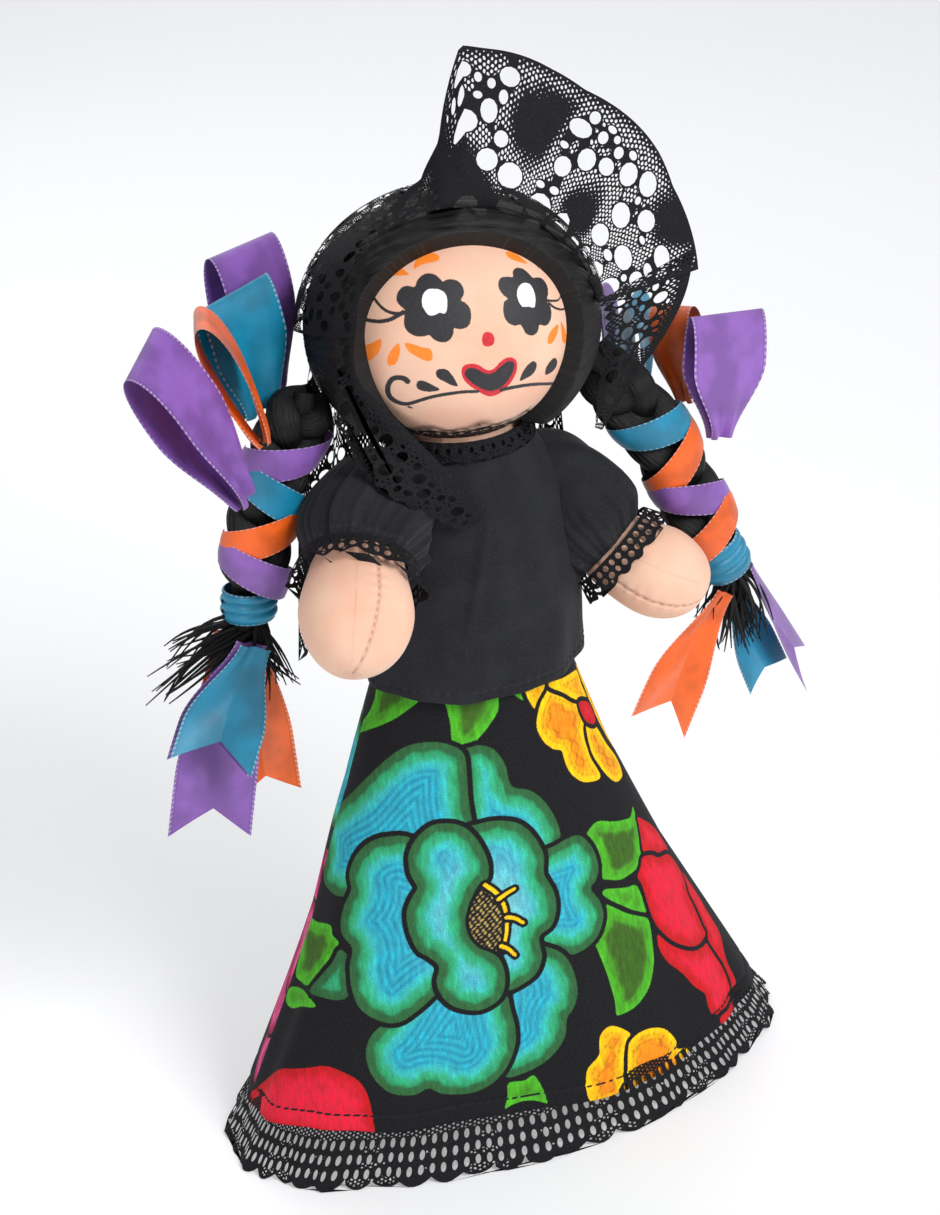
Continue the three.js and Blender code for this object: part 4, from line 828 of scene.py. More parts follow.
def skirt_panel(name, first, last, columns, rows):
    """A panel from angle first to last, its foot turned up inside along HEM."""
    angle = np.radians(np.linspace(first, last, columns))
    foot = np.interp(np.degrees(angle) % 360, HEM[:, 0], HEM[:, 1])
    share = np.linspace(0, 1, rows)
    down = share[:, None] * foot[None, :]
    # Soft upright folds that open towards the foot, and a slack swell on the side by the seam.
    across = np.broadcast_to(angle, down.shape)
    sway = 0.9 * np.sin(9 * across + 2.2 * down) + 0.6 * np.sin(17 * across + 1.1)
    out = sway * smooth_step(down, 0.25, 1.1) * 0.8
    out += 2.6 * np.exp(-((np.degrees(across) - 165) / 34)**2) * np.exp(-((down - 0.33) / 0.26)**2)
    out -= 0.5 * np.exp(-((down - foot[None, :] + 0.035) / 0.006)**2)
    points = skirt_point(down, across, out)
    turned = np.stack([skirt_point(foot + 0.004, angle, out[-1] - 0.5),
                       skirt_point(foot - 0.002, angle, out[-1] - 1.0),
                       skirt_point(foot - 0.035, angle, out[-1] - 1.1)])
    every = np.concatenate([points, turned])
    panel = mesh_object(name, every.reshape(-1, 3), grid_faces(rows + 3, columns), out_of=(3, 4, 60))
    flat = flat_place(np.concatenate([down, np.tile(foot, (3, 1))]).ravel(),
                      np.concatenate([across, np.tile(angle, (3, 1))]).ravel(), (first + last) / 2)
    over = (np.tile(foot, (rows + 3, 1)) - np.concatenate([down, np.tile(foot, (3, 1))])) * SKIRT_FALL * 1.01
    return panel, flat, over.ravel()


def printed_cloth(name):
    """Cotton print: ink in the weave with a soft edge to black, speckled by bare threads."""
    made, tree, shader = material(name, COTTON_BLACK, 0.8, Specular_IOR_Level=0.2)
    at = kept(tree, "cloth_at", out=1)
    fine = noise(tree, at, 1.9, 3.0, 0.7)
    brush = noise(tree, node(tree, "VectorMath", at, (1.6, 0.45, 1.0), operation="MULTIPLY"), 0.5, 4.0, 0.6)
    threads = weave(tree, at, 0.42)
    edge = sums(tree, "ADD", kept(tree, "inked"), sums(tree, "MULTIPLY_ADD", fine, 0.5, -0.25))
    cover = ramped(tree, edge, -0.05, 0.30)
    ink = kept(tree, "ink", out=0)
    light = node(tree, "HueSaturation", 0.5, 1.05, 1.75, 1.0, ink)
    dark = node(tree, "HueSaturation", 0.5, 1.0, 0.55, 1.0, ink)
    ink = mixed(tree, sums(tree, "MULTIPLY", ramped(tree, brush, 0.48, 0.72), 0.55), ink, light)
    ink = mixed(tree, sums(tree, "MULTIPLY", ramped(tree, brush, 0.50, 0.28), 0.5), ink, dark)
    ink = mixed(tree, sums(tree, "MULTIPLY", ramped(tree, fine, 0.56, 0.7), 0.45), ink, light)
    ink = mixed(tree, sums(tree, "MULTIPLY", ramped(tree, fine, 0.45, 0.30), 0.5), ink, dark)
    ground = mixed(tree, ramped(tree, fine, 0.5, 0.75), (*COTTON_BLACK, 1), (0.022, 0.022, 0.027, 1))
    tint = mixed(tree, cover, ground, ink)
    tint = mixed(tree, ramped(tree, kept(tree, "stitch"), 0.2, 0.6), tint, (0.012, 0.012, 0.014, 1))
    tree.links.new(tint, shader.inputs["Base Color"])
    high = sums(tree, "MULTIPLY_ADD", fine, 0.4, threads)
    high = sums(tree, "MULTIPLY_ADD", kept(tree, "stitch"), 1.6, high)
    bumped(tree, shader, high, 0.10, 0.6)
    return made


flower_cotton = printed_cloth("flower_cotton")
for name, first, last, columns, rows in (
    ("skirt_front", SEAM_LEFT, SEAM_RIGHT, 300, 310), ("skirt_back", SEAM_RIGHT - 360, SEAM_LEFT, 260, 250),
):
    panel, flat, over = skirt_panel(name, first, last, columns, rows)
    motifs, flowers = flat, [((np.array(FLOWER_HEART), 0.0, 1.0), PETAL_STOPS, PETAL_BLUE, PETAL_PALE)]
    if name == "skirt_back":
        # The back is cut from the same roll turned end for end, with the roll's other flowers.
        motifs = np.stack([-flat[:, 0] - 12, 152 - flat[:, 1]], 1)
        flowers = [
            ((np.array([-12 - 82.0, 152 - 84.0]), 2.3, 0.72), PINK_STOPS, PINK_ARC, PINK_PALE),
            ((np.array([38.0, 62.0]), 3.6, 0.85), BLUE_STOPS, BLUE_ARC, BLUE_PALE),
            ((np.array([-24.0, 104.0]), 0.7, 0.78), PETAL_STOPS, PETAL_BLUE, PETAL_PALE),
        ]
    ink, inked = print_flowers(motifs, flowers)
    store(panel, "ink", np.concatenate([ink, np.ones((len(ink), 1))], 1))
    store(panel, "inked", inked)
    store(panel, "cloth_at", np.concatenate([flat, np.zeros((len(flat), 1))], 1))
    dashes = np.sin(flat[:, 0] * 2.4) > -0.75
    store(panel, "stitch", np.exp(-((over - 4.6) / 0.28)**2) * dashes)
    panel.data.materials.append(flower_cotton)
    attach(panel, "root")
    if name == "skirt_front":
        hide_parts("skirt")


# Blouse: plain black cotton, a straight body with a stitched foot worn over the skirt's waist and
# two short puffed sleeves, each gathered into the seam above its lace cuff.
BODY = np.array([  # height, half width, half depth
    [140, 32.5, 28], [185, 33, 27], [202, 31, 24.5], [211, 26, 21], [218, 20, 18], [226, 17.5, 16.5]])
BLOUSE_FOOT, BLOUSE_NECK = 151.0, 224.0


def build_blouse_body():
    """Ellipse whose axes follow BODY, eased by a moving mean; long shallow folds fall from the
    shoulders, and the foot is turned up inside."""
    rows, columns = 190, 300
    z = np.linspace(BLOUSE_NECK, BLOUSE_FOOT, rows)
    fine = np.linspace(140, 230, 361)
    soft = np.ones(25) / 25
    wide, deep = (np.convolve(np.pad(np.interp(fine, BODY[:, 0], BODY[:, k]), 12, "edge"), soft, "valid")
                  for k in (1, 2))
    around = np.linspace(0, 2 * math.pi, columns, endpoint=False)
    down = ((BLOUSE_NECK - z) / (BLOUSE_NECK - BLOUSE_FOOT))[:, None]
    fold = 0.55 * np.sin(7 * around + 3.0 * down + 0.5) + 0.35 * np.sin(13 * around - 4 * down)
    fold = fold * rolled(down, 0.35, 1.0)
    crease = 1.1 * np.exp(-(((around[None, :] - 4.55 + 0.55 * (down - 0.35)) / 0.05)**2)) * np.exp(-((down - 0.5) / 0.22)**2)
    hem_pull = 0.18 * np.sin(around * 60) * np.exp(-((z - BLOUSE_FOOT - 2.6) / 1.6)**2)[:, None]
    groove = -0.35 * np.exp(-((z - BLOUSE_FOOT - 2.6) / 0.35)**2)[:, None]
    out = fold + crease + hem_pull + groove + 0.2
    droop = -1.2 * np.cos(around[None, :] - 4.4) * rolled(down, 0.8, 1.0)
    x = (np.interp(z, fine, wide)[:, None] + out) * np.cos(around)
    y = (np.interp(z, fine, deep)[:, None] + out) * np.sin(around)
    points = np.stack(np.broadcast_arrays(x, y, z[:, None] + droop), -1)
    foot = points[-1]
    inward = np.stack([foot * (0.985, 0.985, 1) - (0, 0, 0.35), foot * (0.965, 0.965, 1) + (0, 0, 0.3),
                       foot * (0.955, 0.955, 1) + (0, 0, 4.0)])
    every = np.concatenate([points, inward])
    made = mesh_object("blouse_body", every.reshape(-1, 3), grid_faces(rows + 3, columns, wrap=True), out_of=(0, 0, 185))
    at = np.stack(np.broadcast_arrays(around[None, :] * 31, z[:, None], 0.0), -1)
    at = np.concatenate([at, np.repeat(at[-1:], 3, 0)])
    store(made, "cloth_at", at.reshape(-1, 3))
    line = np.exp(-((z - BLOUSE_FOOT - 2.6) / 0.3)**2)[:, None] * (np.sin(around * 75) > -0.6)
    store(made, "stitch", np.concatenate([line, np.zeros((3, columns))]).ravel())
    return made


def sleeve_radius(arm, share):
    """puff (0.62 + 0.38 sin(pi (0.05 + 0.75 share^1.4))), share from the shoulder to the cuff."""
    return arm["puff"] * (0.62 + 0.38 * np.sin(math.pi * (0.05 + 0.75 * share**1.4)))


def build_sleeve(name, arm):
    """Rings about the arm's line; gathers deepen to the cuff, where the cloth turns in on the arm."""
    rows, columns = 120, 260
    share = np.linspace(0.05, 1.0, rows)
    around = np.linspace(0, 2 * math.pi, columns, endpoint=False)
    here, along, side, up = cross_frame(arm["line"], share * SLEEVE_END, (0.0, 1.0, 0.0))
    close = rolled(share, 0.8, 1.0)[:, None]
    radius = sleeve_radius(arm, share)[:, None] + 0.3
    gather = (0.55 * np.cos(14 * around + 1.5 * np.sin(3 * around)) + 0.3 * np.cos(31 * around))[None, :]
    radius = radius + gather * rolled(share, 0.35, 0.95)[:, None] + 0.8 * np.cos(6 * around)[None, :] * share[:, None]
    radius -= close * 1.6
    slump = 0.9 * np.sin(5 * around[None, :] + 7 * share[:, None]) * np.sin(math.pi * share)[:, None]**2
    radius = radius + 0.6 * slump
    spoke = np.cos(around)[None, :, None] * side[:, None] + np.sin(around)[None, :, None] * up[:, None]
    points = here[:, None] + spoke * radius[..., None]
    tight = arm_girth(arm, np.array([SLEEVE_END]))[0] + 0.5
    lip = [here[-1] + along[-1] * 0.4 + spoke[-1] * (radius[-1] * 0.6 + tight * 0.4)[:, None],
           here[-1] + along[-1] * 0.1 + spoke[-1] * tight,
           here[-1] - along[-1] * 2.0 + spoke[-1] * (tight - 0.1)]
    every = np.concatenate([points, np.stack(lip)])
    made = mesh_object(name, every.reshape(-1, 3), grid_faces(rows + 3, columns, wrap=True), out_of=here[rows // 2])
    length = np.concatenate([np.cumsum(np.full(rows, 0.3)), [36, 36.4, 38]])
    at = np.stack(np.broadcast_arrays(around[None, :] * arm["puff"], length[:, None], 0.0), -1)
    store(made, "cloth_at", at.reshape(-1, 3))
    line = np.exp(-((np.concatenate([share, [1.2, 1.2, 1.2]]) - 0.95) / 0.010)**2)[:, None] * (np.sin(around * 44) > -0.5)
    store(made, "stitch", line.ravel())
    return made


BLACK_CLOTH = (0.0105, 0.011, 0.0135)


def black_cotton(name):
    """Black cotton: close weave, lint that catches the light, matt thread in the stitching."""
    made, tree, shader = material(name, BLACK_CLOTH, 0.85, Specular_IOR_Level=0.22, Sheen_Weight=0.05, Sheen_Roughness=0.5)
    at = kept(tree, "cloth_at", out=1)
    threads = weave(tree, at, 0.4)
    fine = noise(tree, at, 1.6, 3.0, 0.7)
    worn = noise(tree, at, 0.09, 3.0)
    tint = mixed(tree, ramped(tree, fine, 0.52, 0.75), (*BLACK_CLOTH, 1), (0.030, 0.031, 0.037, 1))
    tint = mixed(tree, sums(tree, "MULTIPLY", ramped(tree, worn, 0.4, 0.7), 0.5), tint, (0.021, 0.022, 0.027, 1))
    tint = mixed(tree, sums(tree, "MULTIPLY", kept(tree, "stitch"), 0.8), tint, (0.026, 0.026, 0.03, 1))
    tree.links.new(tint, shader.inputs["Base Color"])
    high = sums(tree, "MULTIPLY_ADD", fine, 0.5, threads)
    high = sums(tree, "MULTIPLY_ADD", kept(tree, "stitch"), 2.0, high)
    bumped(tree, shader, high, 0.10, 0.6)
    return made


blouse_cloth = black_cotton("blouse_cotton")
blouse_body = build_blouse_body()
sleeves = [build_sleeve(f"sleeve_{which}", arm) for which, arm in ARMS.items()]
for piece, flat, area in zip([blouse_body] + sleeves, [(0.196, 0.076), (0.125, 0.040), (0.115, 0.040)], [0.0141, 0.0043, 0.0039]):
    piece.data.materials.append(blouse_cloth)
    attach(piece, "root")
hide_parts("blouse")


# Lace: black net machine lace with slots and ovals left open in it. A deep frill is sewn under the
# skirt's foot, a narrow one stands round the neck over a trim, and one edges each sleeve.
HEM_FRILL = {"round": 427.0, "deep": 21.0, "slots": 150, "scallops": 56}
NECK_FRILL = {"round": 132.0, "deep": 10.0, "slots": 44, "scallops": 22}
NECK_TRIM = {"round": 118.0, "deep": 6.0, "slots": 40, "scallops": 20}
LACE_BLACK = (0.0075, 0.0075, 0.009)


def lace_sheet(name, surface, width, edges, holes, pitch, close=None, out_of=None):
    """A flat net of triangles over 0..width by edges(u)[0]..edges(u)[1], with an open oval at each
    row of holes (u, v, half width, half height, turn), carried to surface(u, v)."""
    low, high = edges
    u = np.linspace(0, width, int(width / pitch * 2))
    bottom, top = np.stack([u, low(u)], 1), np.stack([u, high(u)], 1)
    v = np.linspace(0, 1, max(4, int((high(0) - low(0)) / pitch)))[1:-1]
    sides = np.concatenate([np.stack([v * 0 + x, low(x) + v * (high(x) - low(x))], 1) for x in (0.0, width)])
    gu, gv = np.meshgrid(np.arange(pitch / 2, width, pitch), np.arange(low(u).min(), high(u).max(), pitch))
    gu = gu + (np.arange(len(gu)) % 2 * pitch / 2)[:, None]
    grid = np.stack([gu.ravel(), gv.ravel()], 1)
    grid = grid[(grid[:, 0] < width - pitch / 3) & (grid[:, 1] > low(grid[:, 0]) + pitch / 3)
                & (grid[:, 1] < high(grid[:, 0]) - pitch / 3)]
    holes = np.asarray(holes, float)

    def off_holes(points):
        """Distance in mm outside the nearest oval, about (r - 1) times its mean half width."""
        dx = points[:, None, 0] - holes[None, :, 0]
        dy = points[:, None, 1] - holes[None, :, 1]
        c, s = np.cos(holes[:, 4]), np.sin(holes[:, 4])
        r = np.hypot((c * dx + s * dy) / holes[:, 2], (c * dy - s * dx) / holes[:, 3])
        return ((r - 1) * np.sqrt(holes[:, 2] * holes[:, 3])).min(1)

    grid = grid[off_holes(grid) > pitch * 0.35]
    corner = np.linspace(0, 2 * math.pi, 12, endpoint=False)
    c, s = np.cos(holes[:, 4])[:, None], np.sin(holes[:, 4])[:, None]
    ex, ey = holes[:, 2:3] * np.cos(corner), holes[:, 3:4] * np.sin(corner)
    rings = np.stack([holes[:, :1] + c * ex - s * ey, holes[:, 1:2] + s * ex + c * ey], -1)
    flat = np.concatenate([rings.reshape(-1, 2), bottom, top, sides, grid])
    number = np.arange(len(holes) * 12).reshape(-1, 12)
    rim = np.stack([number, np.roll(number, -1, 1)], -1).reshape(-1, 2)
    found = delaunay_2d_cdt([Vector(p) for p in flat], rim.tolist(), [], 0, 1e-6)
    flat = np.array(found[0])
    faces = np.array([f for f in found[2] if len(f) == 3])
    middle = flat[faces].mean(1)
    keep = (off_holes(middle) > -0.04) & (middle[:, 1] > low(middle[:, 0])) & (middle[:, 1] < high(middle[:, 0]))
    faces = faces[keep]
    points = surface(flat[:, 0], flat[:, 1])
    _, first, same = np.unique(np.round(points, 3), axis=0, return_index=True, return_inverse=True)
    faces = same.ravel()[faces]
    faces = faces[(faces[:, 0] != faces[:, 1]) & (faces[:, 1] != faces[:, 2]) & (faces[:, 0] != faces[:, 2])]
    used, faces = np.unique(faces, return_inverse=True)
    pick = first[used]
    made = mesh_object(name, points[pick], faces.reshape(-1, 3), out_of=out_of)
    store(made, "cloth_at", np.concatenate([flat[pick], np.zeros((len(pick), 1))], 1))
    rim_off = np.minimum(off_holes(flat[pick]), np.minimum(flat[pick, 1] - low(flat[pick, 0]), high(flat[pick, 0]) - flat[pick, 1]))
    store(made, "cord", np.clip(rim_off, 0, 3))
    store(made, "close", np.zeros(len(pick)) if close is None else close(*flat[pick].T))
    return made


def black_lace(name, mesh_pitch):
    """Black thread lace: a hexagonal net with a cord round each opening; where it is close the
    net's own holes shut."""
    made, tree, shader = material(name, LACE_BLACK, 0.8, Specular_IOR_Level=0.18)
    at = kept(tree, "cloth_at", out=1)
    wobble = node(tree, "TexNoise", at, None, 0.5, 2.0)
    at = node(tree, "VectorMath", at, wobble, operation="ADD")
    x = node(tree, "SeparateXYZ", at)
    y = node(tree, "SeparateXYZ", at, out=1)
    k = 2 * math.pi / (mesh_pitch * 0.866)
    net = sums(tree, "COSINE", sums(tree, "MULTIPLY", x, k))
    for sign in (1, -1):
        slant = sums(tree, "MULTIPLY_ADD", y, 0.866 * sign * k, sums(tree, "MULTIPLY", x, k / 2))
        net = sums(tree, "ADD", net, sums(tree, "COSINE", slant))
    shut = sums(tree, "MULTIPLY_ADD", kept(tree, "close"), 3.2, -0.15)
    open_net = sums(tree, "GREATER_THAN", net, shut)
    cord = sums(tree, "LESS_THAN", kept(tree, "cord"), 0.42)
    tree.links.new(
        sums(tree, "SUBTRACT", 1.0, sums(tree, "MULTIPLY", open_net, sums(tree, "SUBTRACT", 1.0, cord))),
        shader.inputs["Alpha"])
    fuzz = noise(tree, at, 3.0, 2.0)
    tree.links.new(mixed(tree, ramped(tree, fuzz, 0.5, 0.8), (*LACE_BLACK, 1), (0.024, 0.024, 0.029, 1)),
                   shader.inputs["Base Color"])
    bumped(tree, shader, sums(tree, "MULTIPLY_ADD", net, -0.3, fuzz), 0.15, 0.7)
    return made


def slot_rows(size, rows, first, step, half_wide, half_high):
    """Rows of upright oval slots, every other row shifted by half a slot."""
    k, j = np.meshgrid(np.arange(size["slots"]), np.arange(rows))
    u = (k + 0.5) * size["round"] / size["slots"]
    v = first + step * j
    return np.stack([u, v, half_wide + 0 * u, half_high + 0 * u, 0 * u], -1).reshape(-1, 5)


def scalloped(size, depth):
    """The free edge: arcs of |cos|, deep at each point."""
    return lambda u: size["deep"] - depth + depth * np.abs(np.cos(math.pi * size["scallops"] * u / size["round"]))**0.7


def hem_surface(u, v):
    """Out and down from inside the skirt's foot in even flutes, the free edge on the ground."""
    t = v / HEM_FRILL["deep"]
    angle = 2 * math.pi * u / HEM_FRILL["round"]
    top = skirt_point(140 / 143 + 0 * angle, angle, -1.2)
    flute = 0.9 * np.cos(15 * angle) + 0.7 * np.cos(38 * angle + 0.8 * np.sin(5 * angle))
    out = t * (11.5 + flute)
    return top + np.stack([out * np.cos(angle), 0.65 * out * np.sin(angle), top[..., 2] * (-t) + 0.2 * t], -1)


def neck_surface(u, v):
    """A fluted cone standing out from the neck: its half widths grow from 17 x 16 to 25 x 24."""
    t = v / NECK_FRILL["deep"]
    angle = 2 * math.pi * u / NECK_FRILL["round"]
    wave = 1.6 * t * np.cos(11 * angle) + 0.5 * t * np.cos(23 * angle)
    return np.stack([(17.2 + 8.3 * t + wave) * np.cos(angle), (16.2 + 7.8 * t + wave) * np.sin(angle),
                     224 + 1 + 5.5 * t + 0.6 * wave], -1)


def trim_surface(u, v):
    """Lies on the blouse's neck, following BODY, in small raised tufts."""
    t = v / NECK_TRIM["deep"]
    angle = 2 * math.pi * u / NECK_TRIM["round"]
    z = 224.4 - 5.6 * t
    out = 1.4 + 0.6 * np.sin(math.pi * np.clip(t, 0, 1)) + 0.4 * np.cos(40 * angle)
    return np.stack([(np.interp(z, BODY[:, 0], BODY[:, 1]) + out) * np.cos(angle),
                     (np.interp(z, BODY[:, 0], BODY[:, 2]) + out) * np.sin(angle), z], -1)


def cuff_surface(arm, size):
    """A short fluted cone about the arm, from inside the sleeve's end over the hand."""
    centre = flowing(arm["line"], np.array([SLEEVE_END + 0.015]))[0]
    _, along, side, up = cross_frame(arm["line"], np.array([SLEEVE_END]), (0.0, 1.0, 0.0))

    def surface(u, v):
        t = (v / size["deep"])[:, None]
        angle = (2 * math.pi * u / size["round"])[:, None]
        radius = arm["hand"] + 0.8 + 1.6 * t + 1.1 * t * np.cos(8 * angle) + 0.5 * t * np.cos(19 * angle)
        return centre + along * 7.0 * t + (np.cos(angle) * side + np.sin(angle) * up) * radius

    return surface


def flat_edge(u):
    return 0.0 * u


fine_lace = black_lace("edging_lace", 1.3)
lace_pieces = []
frill = lace_sheet("hem_frill", hem_surface, HEM_FRILL["round"], (flat_edge, scalloped(HEM_FRILL, 2.4)),
                   slot_rows(HEM_FRILL, 3, 6.6, 4.7, 0.68, 1.6), 2.6, lambda u, v: 0.35 + 0 * u, out_of=(0, 0, 40))
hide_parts("skirt_lace")
neck = lace_sheet("neck_frill", neck_surface, NECK_FRILL["round"], (flat_edge, scalloped(NECK_FRILL, 2.0)),
                  slot_rows(NECK_FRILL, 2, 3.2, 3.2, 0.75, 1.1), 2.0, out_of=(0, 0, 260))
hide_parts("neck_lace")
trim = lace_sheet("neck_trim", trim_surface, NECK_TRIM["round"], (flat_edge, scalloped(NECK_TRIM, 1.2)),
                  slot_rows(NECK_TRIM, 1, 2.4, 1, 0.6, 0.9), 1.8, out_of=(0, 0, 222))
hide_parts("neck_band")
for which, arm in ARMS.items():
    size = {"round": 2 * math.pi * arm["hand"], "deep": 7.5, "slots": 34, "scallops": 17}
    cuff = lace_sheet(f"cuff_frill_{which}", cuff_surface(arm, size), size["round"], (flat_edge, scalloped(size, 1.8)),
                      slot_rows(size, 2, 2.0, 2.6, 0.75, 0.95), 1.9, out_of=flowing(arm["line"], np.array([0.62]))[0])
    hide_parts(f"cuff_lace_{which}")
    lace_pieces.append(cuff)
for piece in [frill, neck, trim] + lace_pieces:
    piece.data.materials.append(fine_lace)
    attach(piece, "root")


# Hair: black thread laid over the head in long combed stitches, parted and drawn to each side, where
# it becomes a plait. It covers all of the head but the face.
HAIR_RADII = np.array([40.5, 36.0, 36.0])
FACE_HALF, FACE_UP, FACE_DOWN = 32.0, 26.5, 38.0
NAPE = 227.0


def build_hair():
    """Rings about the face from its opening to the back of a ball; the threads lie along turns
    about the left-right axis, and their locks lift the ball by cosines of that turn."""
    turn = np.linspace(0, 2 * math.pi, 420, endpoint=False)
    high = np.where(np.sin(turn) > 0, FACE_UP, FACE_DOWN)
    reach = 1 / np.hypot(HAIR_RADII[0] * np.cos(turn) / FACE_HALF, HAIR_RADII[2] * np.sin(turn) / high)
    opening = np.arcsin(np.clip(reach, 0, 0.999))
    share = np.concatenate([np.zeros(8), np.linspace(0, 1, 170)**1.15])
    ring = opening[None, :] + (math.pi - 0.02 - opening[None, :]) * share[:, None]
    lift = np.concatenate([np.linspace(0.82, 0.99, 8), 1 + 0 * np.linspace(0, 1, 170)])
    lift = lift[:, None] - 0.02 * np.exp(-share / 0.02)[:, None]
    ball = np.stack([np.sin(ring) * np.cos(turn), -np.cos(ring), np.sin(ring) * np.sin(turn)], -1) * HAIR_RADII
    about = np.arctan2(ball[..., 2], -ball[..., 1])
    lock = np.abs(np.sin(about * 14 + 0.5 * np.sin(ball[..., 0] * 0.11)))**0.6
    fine = np.sin(about * 61 + 1.7 * np.sin(ball[..., 0] * 0.07)) + np.sin(about * 97)
    relief = lift * (1 + 0.016 * (lock - 0.6) + 0.0022 * fine)
    local = ball * relief[..., None]
    points = local @ HEAD_TURN.T + HEAD_CENTRE
    points[..., 2] = np.maximum(points[..., 2], NAPE - 0.6)
    rows, columns = points.shape[:2]
    last = (rows - 1) * columns
    every = np.concatenate([points.reshape(-1, 3), points[-1:].mean(1)])
    made = mesh_object("hair_cap", every, grid_faces(rows, columns, wrap=True),
                       fan(range(last, last + columns), len(every) - 1), out_of=HEAD_CENTRE)
    thread = np.stack([about * 36, ball[..., 0], 0 * about], -1).reshape(-1, 3)
    store(made, "thread_at", np.concatenate([thread, thread[-1:]]))
    return made


def hair_thread(name):
    """Black embroidery thread: a low real shine, and a sheen painted as lighter colour in streaks along the strands."""
    made, tree, shader = material(name, (0.006, 0.006, 0.007), 0.48, Specular_IOR_Level=0.3)
    at = kept(tree, "thread_at", out=1)
    drawn = node(tree, "VectorMath", at, (3.2, 0.12, 1.0), operation="MULTIPLY")
    strands = noise(tree, drawn, 1.0, 3.0, 0.65)
    # Painted sheen: lighter colour in streaks along the strands.
    tree.links.new(mixed(tree, ramped(tree, strands, 0.5, 0.75), (0.0045, 0.0045, 0.005, 1), (0.021, 0.020, 0.022, 1)),
                   shader.inputs["Base Color"])
    bumped(tree, shader, strands, 0.35, 0.8)
    return made


hair_black = hair_thread("hair_black")
hair = build_hair()
hair.data.materials.append(hair_black)
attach(hair, "root")
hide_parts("hair")


# Plaits: three thick hanks of the same thread braided on each side, and below each tie their ends
# left loose and cut.
PLAITS = {
    "right": {
        "line": [(-42, 2, 240), (-47, 3, 231), (-52, 4, 222), (-56.5, 5, 210), (-60, 5, 198), (-63, 6, 186),
                 (-64.5, 6, 172)],
        "turns": 2.1, "start": 0.0,
        "tufts": [(-87, 3, 170), (-91, 4, 160), (-73, 5, 152), (-62, 6, 150), (-53, 8, 153)],
    },
    "left": {
        "line": [(41, -2, 236), (47, -4, 224), (56, -4, 212), (63.5, -5, 198), (69, -7, 184), (75, -8, 171),
                 (81, -8, 158)],
        "turns": 2.3, "start": 0.35,
        "tufts": [(70, -9, 148), (77, -8, 137), (84, -7, 134), (91, -7, 136)],
    },
}
STRAND_RADIUS, LOCKS_EACH = 4.6, 16


def plait_frame(plait, t):
    """Point, along, side and front of the plait; front looks forward, square to along."""
    here, along, front, _ = cross_frame(plait["line"], t, (0.0, -1.0, 0.0))
    return here, along, np.cross(along, front), front


def tube(path, radius, around, furrow=0.0, turns=0):
    """Rings of points about a path (rows x 3), each radius (1 + furrow cos(turns a)), and faces."""
    along = unit(np.gradient(path, axis=0))
    side = unit(np.cross(along, (0.13, -0.9, 0.41)))
    up = np.cross(along, side)
    a = np.linspace(0, 2 * math.pi, around, endpoint=False)
    twist = np.linspace(0, 1.6, len(path))[:, None] if turns else 0
    wide = radius[:, None] * (1 + furrow * (np.abs(np.cos(turns * (a + twist) / 2)) - 0.6))
    points = path[:, None] + wide[..., None] * (np.cos(a)[None, :, None] * side[:, None] + np.sin(a)[None, :, None] * up[:, None])
    at = np.stack(np.broadcast_arrays(a[None, :] * 9 + 0 * wide, np.arange(len(path))[:, None] * 0.7, 0.0), -1)
    return points.reshape(-1, 3), grid_faces(len(path), around, wrap=True), at.reshape(-1, 3)


def build_plait(name, plait, seed):
    """Strand k runs at 5 sin(2 pi w) across and -2.7 sin(4 pi w) forward, w = turns t + start + k/3;
    below the tie, seeded locks bow out to each tuft's end."""
    t = np.linspace(0, 1, 120)
    here, _, side, front = plait_frame(plait, t)
    girth = (0.55 + 0.45 * rolled(t, 0, 0.12)) * (1 - 0.45 * rolled(t, 0.74, 0.84))
    parts = []
    for k in range(3):
        w = 2 * math.pi * (plait["turns"] * t + plait["start"] + k / 3)
        path = here + (girth * 5.0 * np.sin(w))[:, None] * side - (girth * 2.7 * np.sin(2 * w))[:, None] * front
        parts.append(tube(path, STRAND_RADIUS * girth * (1 - 0.6 * rolled(t, 0.97, 1)), 60, 0.10, 22))
    rng = np.random.default_rng(seed)
    root = flowing(plait["line"], np.array([0.97]))[0]
    s = np.linspace(0, 1, 10)[:, None]
    for end in plait["tufts"]:
        for draw in rng.normal(size=(LOCKS_EACH, 7)):
            tip = np.array(end) + draw[:3] * (2.6, 2.0, 2.6) + (0, 0, 1.5)
            bow = np.array((0, 0, 1.5)) + draw[3:6] * 1.2
            path = root + draw[3:6] * 1.3 + (tip - root - draw[3:6] * 1.3) * s + bow * np.sin(math.pi * s)
            parts.append(tube(path, np.linspace(0.75, 0.16, 10) * (1 + 0.2 * draw[6] / 3), 6))
    count, points, faces, at = 0, [], [], []
    for p, f, where in parts:
        points.append(p)
        faces.append(f + count)
        at.append(where)
        count += len(p)
    made = mesh_object(name, np.concatenate(points), np.concatenate(faces))
    store(made, "thread_at", np.concatenate(at))
    return made


for which, plait in PLAITS.items():
    made = build_plait(f"braid_{which}", plait, 7)
    made.data.materials.append(hair_black)
    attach(made, "root")
    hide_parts(f"plait_{which}")


